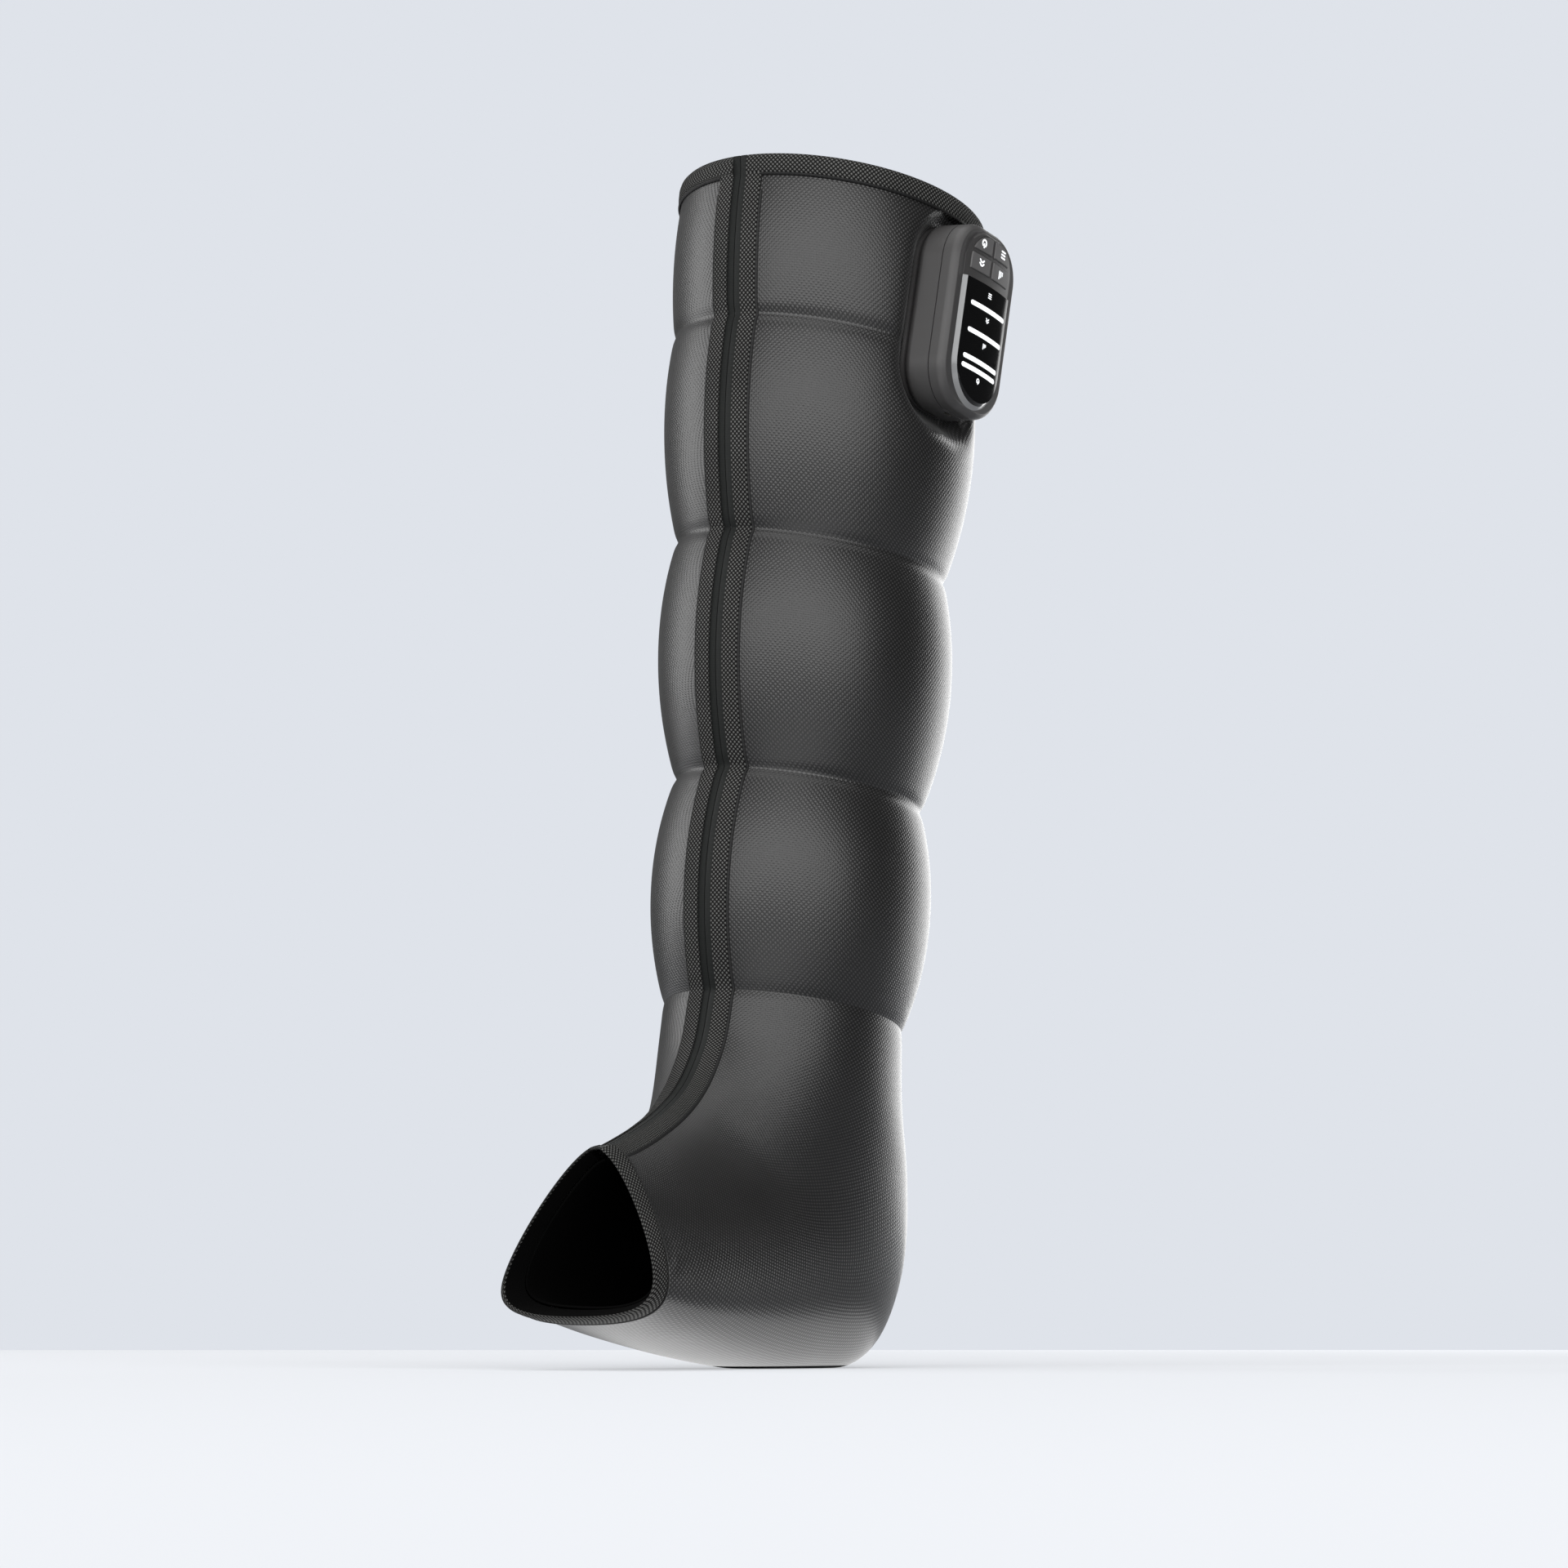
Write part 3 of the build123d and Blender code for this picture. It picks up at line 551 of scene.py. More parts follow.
# ---------------------------------------------------------------------------
# The sleeve's form
# ---------------------------------------------------------------------------
# A section is an outline in a plane square to the plane of symmetry: its front and back points,
# half its width, how pear-shaped it is and how far it rolls to one side
FRONT, BACK, HALF_WIDTH, PEAR, ROLL = [0, 1], [2, 3], 4, 5, 6
ANKLE, TOE = 4, 5  # numbers of those seams, where the thigh rim's is 0
SECTION_SIZE = 7
QUARTER_SAMPLES = 48
ROUNDING = 0.5523  # handle of a cubic curve that passes for a quarter of a circle
WAIST_DROP = 0.62  # how far a full pear's widest place lies below its middle, for each half length
TOP_HANDLE, LOW_HANDLE, RISE_HANDLE, FALL_HANDLE = -0.25, 0.25, -0.30, 0.10  # changes for a full pear


def section(*values: float) -> Points:
    """A section, with pear and roll left out where they are nothing."""
    return np.array([*values, *[0.0] * (SECTION_SIZE - len(values))])


def leg_ring(centre_y: float, centre_z: float, radius: float, slope: float, roll: float) -> Points:
    """A round section of the leg whose plane drops by slope towards the back."""
    rise = slope * radius
    front, back = (centre_y - radius, centre_z + rise), (centre_y + radius, centre_z - rise)
    return section(*front, *back, radius, 0.0, roll)


def between(first: Points, second: Points, share: float) -> Points:
    """The section the given share of the way from one to another."""
    return first + share * (second - first)


def grown(one: Points, amount: float) -> Points:
    """The section with its outline moved outwards, in millimetres."""
    step = amount * unit(one[FRONT] - one[BACK])
    return np.array([*(one[FRONT] + step), *(one[BACK] - step), one[HALF_WIDTH] + amount, *one[PEAR:]])


def smooth_run(controls: Sequence[Points], steps: int) -> list[Points]:
    """Sections on one smooth run through the controls, with steps from each to the next."""
    ends = between(controls[1], controls[0], 2.0), between(controls[-2], controls[-1], 2.0)
    padded = [ends[0], *controls, ends[1]]
    run = [controls[0]]
    for before, start, end, after in zip(padded, padded[1:], padded[2:], padded[3:]):
        first, second = end - before, 2 * before - 5 * start + 4 * end - after
        third = 3 * start - before - 3 * end + after
        for t in np.arange(1, steps + 1) / steps:
            run.append(start + (t * first + t**2 * second + t**3 * third) / 2)
    return run


def outline(one: Points) -> Points:
    """The closed outline of a section, from the front round by the outer side."""
    length = one[FRONT] - one[BACK]
    centre = np.array([0.0, *((one[FRONT] + one[BACK]) / 2)])
    across = unit(np.array([1.0, 0.0, one[ROLL]]))
    upright = np.cross(unit(np.cross(across, unit(np.array([0.0, *length])))), across)
    half, width, pear = np.linalg.norm(length) / 2, one[HALF_WIDTH], one[PEAR]
    waist = -WAIST_DROP * pear * half
    top, low = (width * (ROUNDING + pear * change) for change in (TOP_HANDLE, LOW_HANDLE))
    rise = (half - waist) * (ROUNDING + pear * RISE_HANDLE)
    fall = (half + waist) * (ROUNDING + pear * FALL_HANDLE)
    upper = [(0, half), (top, half), (width, waist + rise), (width, waist)]
    lower = [(width, waist), (width, waist - fall), (low, -half), (0, -half)]
    mirrored = [[(-x, y) for x, y in reversed(quarter)] for quarter in (lower, upper)]
    t = np.linspace(0, 1, QUARTER_SAMPLES, endpoint=False)[:, None]
    weights = ((1 - t) ** 3, 3 * (1 - t) ** 2 * t, 3 * (1 - t) * t**2, t**3)
    quarters = (upper, lower, *mirrored)
    flat = np.concatenate([sum(w * np.array(p) for w, p in zip(weights, q)) for q in quarters])
    flat = np.vstack([flat, flat[:1]])
    return centre + flat[:, :1] * across + flat[:, 1:] * upright


def round_section(one: Points, reach: Reach) -> Pair:
    """Points round a section.

    Args:
        one: the section.
        reach: gives the stations, in millimetres from the front.

    Returns:
        The points, and their stations.
    """
    points = outline(one)
    lengths = running(points)
    stations = reach(lengths[-1])
    return along(points, lengths, np.mod(stations, lengths[-1])), stations


def inset(margin: float, count: int) -> Reach:
    """Even stations round a section, from one side of its front to the other."""
    return lambda length: np.linspace(margin, length - margin, count)


def spot(one: Points, station: float) -> Points:
    """One point round a section."""
    return round_section(one, lambda length: np.array([station]))[0][0]


def chart(stations: Points, distance: float) -> Points:
    """A row of the pattern map: the way round at each point, and the way down."""
    return np.c_[stations, np.full(len(stations), distance)]


@dataclass
class SleeveForm:
    """The smooth skin of the sleeve: sections by the distance down the sleeve."""

    rim_height: float = 12.0  # of the binding round the thigh
    bulge_power: float = 2.05  # 2 is a parabola, more is fuller near the seams
    creases: tuple[float, ...] = (1.3, 1.4, 1.4, 0.5)  # depth of each seam's crease
    crease_width: float = 3.4  # from its middle to where it is about a third as deep
    binding_wall: float = 0.9  # how far the bindings stand over the skin
    thigh_wall: float = 20.0  # from the skin at the thigh in to the lining
    wall_step: float = 1.0  # how much thinner the sleeve gets from one main section to the next
    steps: int = 40  # from one seam of the leg to the next
    foot_steps: int = 10  # from one section of the foot to the next
    swollen: tuple[float, ...] = (97.0, 96.0, 91.0, 86.0)  # widest radius between two seams

    def __post_init__(self) -> None:
        """Works out the whole run once."""
        self.thigh_rim = leg_ring(59.0, 721.0, 95.5, 0.229, -0.01)
        lower_seams = [
            leg_ring(50.0, 624.0, 94.0, 0.20, -0.05),
            leg_ring(35.5, 496.5, 83.5, 0.165, -0.07),
            leg_ring(22.6, 350.5, 76.0, 0.175, -0.04),
            leg_ring(7.0, 213.5, 73.0, 0.20, 0.0),
        ]
        drop = self.thigh_rim[BACK[1]] - lower_seams[0][BACK[1]]
        self.thigh_edge = between(self.thigh_rim, lower_seams[0], self.rim_height / drop)
        self.toe_edge = section(-164.0, 133.0, -185.3, 27.4, 57.7, 0.94)
        self.toe_rim = section(-176.0, 131.0, -197.0, 30.0, 57.5, 1.0)
        foot = [  # front point, back point, half width and pear
            section(-74.0, 198.0, 82.0, 152.0, 73.0),
            section(-86.0, 177.0, 92.0, 100.0, 71.0, 0.05),
            section(-97.0, 165.0, 90.0, 45.0, 68.0, 0.12),
            section(-108.0, 157.0, 60.0, 2.0, 64.0, 0.25),
            section(-120.0, 150.0, 0.0, -3.0, 61.0, 0.4),
            section(-137.5, 142.0, -70.0, 4.0, 59.0, 0.6),
            section(-153.0, 136.0, -135.0, 16.0, 58.0, 0.8),
        ]
        tops = [grown(self.thigh_edge, -self.binding_wall), *lower_seams]
        foot_end = grown(self.toe_edge, -self.binding_wall)
        run, marks = [self.thigh_rim, tops[0]], [1]
        for upper, lower, radius in zip(tops, tops[1:], self.swollen):
            bulge = radius - between(upper, lower, 0.5)[HALF_WIDTH]
            for share in np.arange(1, self.steps + 1) / self.steps:
                swell = bulge * (1 - abs(2 * share - 1) ** self.bulge_power)
                run.append(grown(between(upper, lower, share), swell))
            marks.append(len(run) - 1)
        run += smooth_run([tops[-1], *foot, foot_end], self.foot_steps)[1:]
        marks.append(len(run) - 1)
        run.append(self.toe_rim)
        self.run = np.array(run)
        self.down = self.distances(self.run)
        self.down -= self.down[marks[0]]
        self.seams = [float(self.down[mark]) for mark in marks]  # from the thigh rim to the toe rim
        self.top, self.end = float(self.down[0]), float(self.down[-1])
        self.lining = [
            grown(one, self.wall_step * place - self.thigh_wall)
            for place, one in enumerate([*tops, *foot, foot_end])
        ]

    @staticmethod
    def distances(run: Points) -> Points:
        """The mean distance down the sleeve to each section of a run."""
        front, back = run[:, FRONT], run[:, BACK]
        return (running(front) + running(back) + 2 * running((front + back) / 2)) / 4

    def at(self, down: float) -> Points:
        """The section at a distance down the sleeve from the thigh rim's lower edge."""
        crease = sum(
            depth * math.exp(-(((down - seam) / self.crease_width) ** 2))
            for depth, seam in zip(self.creases, self.seams[1:TOE])
        )
        return grown(along(self.run, self.down, down), -crease)


@dataclass
class ControllerFrame:
    """The controller's own frame on the leg, and the hollow it presses into the skin."""

    height: float = 642.0
    leg_y: float = 51.9
    reach: float = 82.5
    turn: float = 94.5  # degrees round the leg from the front
    lean: float = 10.0  # degrees that its upper end leans to the back
    tilt: float = 3.0  # degrees that its face looks down
    pocket: tuple[float, float, float] = (75.0, 121.0, 28.5)  # width, length, corner radius
    pocket_floor: float = -2.8
    flare: float = 30.0  # degrees that the pocket's sides lean outwards
    lip: float = 4.0  # rounding of the fabric over the pocket's edge
    foot: float = 0.35  # bend from the floor to the sides, 0 is the softest and 0.5 the sharpest
    deepest: float = 12.0  # skin farther under the floor than this is left alone
    widest: float = 30.0  # and so is skin farther out than this

    def __post_init__(self) -> None:
        """Works out the axes once."""
        turn, lean, tilt = (math.radians(a) for a in (self.turn, self.lean, self.tilt))
        away = np.array([math.sin(turn), -math.cos(turn), 0.0])
        round_leg = np.array([math.cos(turn), math.sin(turn), 0.0])
        up = np.array([0.0, 0.0, 1.0])
        outward = away * math.cos(tilt) - up * math.sin(tilt)
        upward = away * math.sin(tilt) + up * math.cos(tilt)
        across = round_leg * math.cos(lean) - upward * math.sin(lean)
        self.axes = np.array([across, np.cross(outward, across), outward])
        self.origin = np.array([0.0, self.leg_y, self.height]) + away * self.reach

    def outside(self, local: Points) -> Points:
        """Points of the controller's frame in the sleeve's, in millimetres."""
        return self.origin + local @ self.axes

    def inside(self, places: Points) -> Points:
        """Points of the sleeve's frame in the controller's, in millimetres."""
        return (places - self.origin) @ self.axes.T

    def press(self, places: Points, under: float = 0.0) -> Points:
        """Skin points pushed down into the controller's pocket where they are above it.

        Args:
            places: points in millimetres, of any shape whose last size is three.
            under: how far inside the skin the layer lies.

        Returns:
            The points after the push.
        """
        pressed = self.inside(places)
        height = pressed[..., 2].copy()
        width, length, corner = self.pocket
        edge, _ = beyond_slot(pressed, (width + 2 * under, length + 2 * under, corner))
        slope = 1 / math.tan(math.radians(self.flare))
        rounded = (edge + np.hypot(edge, self.lip)) / 2 - self.foot * self.lip
        gap = self.pocket_floor - under + slope * np.maximum(rounded, 0) - height
        lowered = height + (gap - np.hypot(gap, self.lip)) / 2
        near = (height > self.pocket_floor - self.deepest) & (edge < self.widest)
        pressed[..., 2] = np.where(near, np.minimum(lowered, height), height)
        return self.outside(pressed)


# ---------------------------------------------------------------------------
# The soft pieces
# ---------------------------------------------------------------------------
@dataclass
class PaddedCover:
    """The outer fabric, swollen by the air inside and held at its seams."""

    form: SleeveForm
    controller: ControllerFrame
    wall: float = 1.6
    slot: float = 5.3  # half the width that is left open for the zip
    pitch: float = 4.85  # from row to row, and from column to column
    widest_leg: float = 90.0  # radius of the leg where the columns lie that far apart
    crowding: float = 0.5  # how much closer the rows lie beside a seam
    pressure: float = 4.0  # of the simulation, and so is the stiffness
    stiffness: float = 2.0
    frames: int = 20
    cap: float = 2.5  # the most that a point may move
    hold: float = 5.0  # width of skin that each seam holds still
    zip_hold: int = 3  # columns that the zip holds still at each side
    pocket_hold: tuple[float, float, float] = (46.0, 69.0, -30.0)  # half sizes and depth held still
    floor_hold: float = 2.0  # height under which the floor holds the skin still

    def build(self) -> None:
        """Makes the leg's and the foot's cover."""
        seams = self.form.seams
        down = [seams[0]]
        for upper, lower in zip(seams, seams[1:]):
            share = np.linspace(0, 1, round((lower - upper) / self.pitch) + 1)[1:]
            share -= self.crowding * np.sin(math.tau * share) / math.tau
            down.extend(upper + (lower - upper) * share)
        down = np.array(down)
        ankle = int(np.argmin(np.abs(down - seams[ANKLE])))
        columns = round(math.tau * self.widest_leg / self.pitch)
        reach = inset(self.slot, columns)
        rows = [round_section(self.form.at(distance), reach) for distance in down]
        places = self.controller.press(np.array([points for points, _ in rows]))
        places[..., 2] = np.maximum(places[..., 2], 0.0)
        pattern = [chart(stations, distance) for (_, stations), distance in zip(rows, down)]
        skin = grid_sheet("sleeve_cover", places, np.array(pattern), flip=True)
        self.inflate(skin, down, places)
        row = np.arange(len(skin.data.vertices)) // columns
        self.part(skin, "leg_cover_padded", row <= ankle, "leg_cover")
        self.part(skin, "foot_cover_padded", row >= ankle, "foot_cover")
        bpy.data.objects.remove(skin)

    def held(self, down: Points, places: Points) -> Points:
        """How firmly the seams, the zip, the controller and the floor hold each point.

        Args:
            down: the distance of each row.
            places: the rows of points.

        Returns:
            A number for each point, from 0 where it is free to 1 where it stays.
        """
        near = np.min([np.abs(down - seam) for seam in self.form.seams], axis=0)
        firm = np.clip(1 - near / self.hold, 0, 1)
        hold = np.repeat(firm[:, None], places.shape[1], axis=1)
        hold[:, : self.zip_hold] = hold[:, -self.zip_hold :] = 1.0
        across, lengthwise, height = np.moveaxis(self.controller.inside(places), -1, 0)
        half_width, half_length, depth = self.pocket_hold
        beside = (np.abs(across) < half_width) & (np.abs(lengthwise) < half_length) & (height > depth)
        hold[beside | (places[..., 2] < self.floor_hold)] = 1.0
        return hold

    def inflate(self, skin: Piece, down: Points, places: Points) -> None:
        """Swells the cloth between its seams by simulation, and keeps each point near its start.

        Args:
            skin: the sheet before it has a wall.
            down: the distance of each row.
            places: the rows of points that the sheet was laid through.
        """
        rest = coordinates(skin)
        hold = np.round(self.held(down, places), 2).ravel()
        group = skin.vertex_groups.new(name="held")
        for value in np.unique(hold[hold > 0]):
            group.add(np.flatnonzero(hold == value).tolist(), float(value), "REPLACE")
        cloth = skin.modifiers.new("Air", "CLOTH")
        cloth.settings.vertex_group_mass = group.name
        cloth.settings.use_pressure = True
        cloth.settings.uniform_pressure_force = self.pressure
        cloth.settings.effector_weights.gravity = 0.0
        cloth.settings.bending_stiffness = self.stiffness
        cloth.point_cache.frame_start, cloth.point_cache.frame_end = 1, self.frames
        for number in range(1, self.frames + 1):
            bpy.context.scene.frame_set(number)
        blown = skin.evaluated_get(bpy.context.evaluated_depsgraph_get())
        shift = coordinates(blown) - rest
        length = np.linalg.norm(shift, axis=1, keepdims=True)
        cap = self.cap * MM
        skin.modifiers.remove(cloth)
        bpy.context.scene.frame_set(1)
        place_vertices(skin, rest + cap * np.tanh(length / cap) * unit(shift))
        log.info("cover swelled by %.2f mm at most", float(length.max()) / MM)

    def part(self, skin: Piece, name: str, kept: Points, node: str) -> None:
        """Cuts a part out of the skin, smooths it and gives it its wall.

        Args:
            skin: the whole sheet.
            name: the new piece's name.
            kept: whether each vertex belongs to the part.
            node: the CAD node that it stands for.
        """
        activate(skin)
        bpy.ops.object.duplicate()
        piece = newest(name)
        edit_chosen(piece, Element.VERTEX, ~kept, partial(bpy.ops.mesh.delete, type="VERT"))
        finer = piece.modifiers.new("Finer", "SUBSURF")
        finer.levels = finer.render_levels = 1
        apply_modifiers(piece)
        solidify(piece, self.wall)
        smooth(piece, degrees=60.0)
        hand_over(piece, COVER_NYLON, [node])


@dataclass
class AirChambers:
    """The five welded bladders between the cover and the lining."""

    form: SleeveForm
    controller: ControllerFrame
    under_cover: float = 2.6
    over_lining: float = 0.8
    opening: float = 20.0  # half the gap behind the zip
    weld: float = 7.0  # from each seam to the chamber's end
    pinch: tuple[float, float] = (6.0, 8.0)  # depth and length of the slope down to the weld
    inner_span: tuple[float, float] = (0.94, 0.06)  # shares of the lining's way, back to the start
    rows: int = 14
    columns: int = 96
    weave_steps: tuple[float, float] = (10.0, 6.0)  # pattern map's steps round and along a chamber

    def profile(self, first: float, last: float, marks: tuple[int, int]) -> list[Points]:
        """The sections of one chamber, down under the cover and back up over the lining.

        Args:
            first: where the chamber starts down the sleeve.
            last: where it ends.
            marks: numbers of the lining's sections at its two seams.

        Returns:
            The sections, of which the last repeats the first.
        """
        depth, length = self.pinch
        sections = []
        for down in np.linspace(first, last, self.rows):
            near = min(down - first, last - down)
            drawn_in = depth * max(0.0, 1 - near / length) ** 2
            sections.append(grown(self.form.at(down), -self.under_cover - drawn_in))
        lining, numbers = np.array(self.form.lining), np.arange(len(self.form.lining))
        for share in np.linspace(*self.inner_span, self.rows):
            base = along(lining, numbers, marks[0] + share * (marks[1] - marks[0]))
            sections.append(grown(base, self.over_lining))
        return [*sections, sections[0]]

    def build(self) -> None:
        """Makes each chamber as a closed ring that is open at the front."""
        seams = self.form.seams
        marks = [*range(TOE), len(self.form.lining) - 1]
        reach = inset(self.opening, self.columns)
        for place in range(TOE):
            first, last = seams[place] + self.weld, seams[place + 1] - self.weld
            sections = self.profile(first, last, (marks[place], marks[place + 1]))
            swept = np.array([round_section(one, reach)[0] for one in sections]).transpose(1, 0, 2)
            swept = self.controller.press(swept, under=self.under_cover)
            swept[..., 2] = np.maximum(swept[..., 2], self.under_cover)
            steps = (np.arange(n) * step for n, step in zip(swept.shape[1::-1], self.weave_steps))
            pattern = np.stack(np.meshgrid(*steps), -1)
            piece = closed_sweep(f"air_bladder_{place + 1}", swept, pattern, sharp=50.0)
            hand_over(piece, BLADDER_CLOTH, [f"air_chamber_{place + 1}"])


@dataclass
class Lining:
    """The brushed tube that touches the leg."""

    form: SleeveForm
    wall: float = 1.2
    slit: float = 1.0
    over_sole: float = 6.0
    ripple: float = 0.5  # height of the slight waves in the cloth
    ripple_scales: tuple[float, float, float] = (17.0, 41.0, 2.0)  # way round, way down, sway
    columns: int = 120
    steps: int = 14
    foot_steps: int = 8
    spare: float = 1.0001  # keeps the flat cloth from being smaller than the sheet that it makes
    covered: float = 0.999  # the largest share of the flat cloth that the sheet may be said to use

    def build(self) -> None:
        """Makes the lining as one sheet, slit at the front."""
        main = self.form.lining
        run = []
        for first, second in zip(main[:ANKLE], main[1:]):
            run += [between(first, second, step / self.steps) for step in range(self.steps)]
        run = np.array([*run, *smooth_run(main[ANKLE:], self.foot_steps)])
        down = SleeveForm.distances(run)
        reach = inset(self.slit, self.columns)
        round_scale, down_scale, sway = self.ripple_scales
        places, pattern = [], []
        for one, distance in zip(run, down):
            row, stations = round_section(one, reach)
            wave = np.sin(stations / round_scale + sway * np.sin(distance / down_scale))
            places.append(row + unit(row - row.mean(axis=0)) * self.ripple * wave[:, None])
            pattern.append(chart(stations, distance))
        places, pattern = np.array(places), np.array(pattern)
        places[..., 2] = np.maximum(places[..., 2], self.over_sole)
        piece = grid_sheet("inner_lining", places, pattern, flip=True)
        solidify(piece, self.wall)
        smooth(piece, degrees=60.0)
        # The lining's near-black colour is painted shade for the dark inside of the sleeve.
        hand_over(piece, LINING_PAINTED_SHADE, ["inner_liner"])


@dataclass
class Sewing:
    """Rows of thread stitches."""

    length: float = 2.4
    width: float = 0.5
    pitch: float = 3.4
    look: float = 0.6  # how far ahead and behind a stitch the line's direction is taken

    def seed(self) -> Piece:
        """One stitch along x, in millimetres about the origin."""
        deselect()
        bpy.ops.mesh.primitive_uv_sphere_add(segments=6, ring_count=4, radius=0.5)
        seed = newest("stitch")
        size = np.array([self.width, self.width, self.length])
        place_vertices(seed, (coordinates(seed) * size)[:, [2, 0, 1]])
        return seed

    def row(self, name: str, lines: Sequence[Pair]) -> None:
        """Stitches laid along lines, as one piece.

        Args:
            name: the piece's name.
            lines: for each line its points and the outward direction at each, in millimetres.
        """
        frames = []
        for points, outward in lines:
            lengths = running(points)
            stations = np.arange(self.pitch / 2, lengths[-1], self.pitch)
            here, ahead, behind = (
                along(points, lengths, stations + step) for step in (0.0, self.look, -self.look)
            )
            run = unit(ahead - behind)
            up = along(outward, lengths, stations)
            up = unit(up - run * np.sum(up * run, axis=1, keepdims=True))
            frames.extend(np.stack([run, np.cross(up, run), up, here], axis=-1))
        piece = merged_copies(name, self.seed(), frames)
        smooth(piece, degrees=80.0)
        hand_over(piece, SEWING_THREAD)


@dataclass
class ZipFastener:
    """The bare zip down the front, between its two woven bindings."""

    form: SleeveForm
    tape_edge: float = 5.2  # half width of both tapes
    binding: tuple[float, float] = (5.0, 16.0)  # its two edges beside the front's middle
    rise: float = 1.25  # of the binding over the skin
    pitch: float = 3.0
    line_pitch: float = 2.0  # between the points of a stitched line
    tape_end: float = 0.8  # from the sleeve's end to the tape's
    binding_end: float = 0.6  # how far the binding passes the seam at the rim
    piping_ends: tuple[float, float] = (11.0, 1.0)  # from the upper and the lower seam

    def strip(self, name: str, span: tuple[float, float], sign: int, profile: Profile) -> Piece:
        """A closed band down the front of the skin.

        Args:
            name: the piece's name.
            span: where it starts and ends down the sleeve.
            sign: 1 on the outer side of the zip, -1 on the inner.
            profile: places across and above the skin, in order round the band.

        Returns:
            The band.
        """
        first, last = span
        down = np.linspace(first, last, int((last - first) / self.pitch) + 1)
        ring = [*profile, profile[0]]
        around = running(np.array(ring))
        places, pattern = [], []
        for distance in down:
            one = self.form.at(distance)
            places.append([spot(grown(one, above), sign * across) for across, above in ring])
            pattern.append(chart(sign * around, distance))
        return closed_sweep(name, np.array(places), np.array(pattern), sharp=35.0)

    def edge_line(self, across: float, above: float, span: tuple[float, float]) -> Pair:
        """A line down the skin and the outward direction along it."""
        first, last = span
        sections = [
            self.form.at(distance)
            for distance in np.linspace(first, last, int((last - first) / self.line_pitch))
        ]
        low, high = (
            np.array([spot(grown(one, height), across) for one in sections])
            for height in (above, above + 1.0)
        )
        return low, high - low

    def build(self) -> None:
        """Makes the tapes, the bindings and their stitches."""
        first, last = self.form.seams[0], self.form.seams[TOE]
        low, high = self.binding
        edge, rise = self.tape_edge, self.rise
        tape = [(0.1, -1.2), (0.1, -0.5), (0.35, -0.1), (0.9, 0.0), (edge, 0.05), (edge, -1.2)]
        near_zip = [(low, 0.3), (low - 0.1, 0.75), (low + 0.3, 1.1), (low + 1.2, rise)]
        far_side = [(high - 1.2, rise), (high - 0.3, 1.0), (high, 0.5), (high, 0.3)]
        webbing = [*near_zip, ((low + high) / 2, rise + 0.05), *far_side]
        bead = [(-0.1, 0.1), (0.0, 0.75), (0.6, 0.95), (1.2, 0.6), (1.4, 0.1)]
        piping = [(high + across, above) for across, above in bead]
        tape_span = (self.form.top + self.tape_end, self.form.end - self.tape_end)
        webbing_span = (first - self.binding_end, last + self.binding_end)
        piping_span = (first + self.piping_ends[0], last - self.piping_ends[1])
        stitched = (piping_span[0] + 1.0, piping_span[1] - 1.0)
        lines = []
        for side, sign in (("left", -1), ("right", 1)):
            band = self.strip(f"zip_tape_woven_{side}", tape_span, sign, tape)
            hand_over(band, ZIP_WEAVE, [f"zip_tape_{side}"])
            band = self.strip(f"zip_binding_webbing_{side}", webbing_span, sign, webbing)
            hand_over(band, BINDING_WEB, [f"zip_binding_{side}"])
            band = self.strip(f"zip_piping_{side}", piping_span, sign, piping)
            hand_over(band, SEWING_THREAD)
            lines.append(self.edge_line(sign * (high + 0.4), 0.8, stitched))
        Sewing().row("zip_binding_stitches", lines)


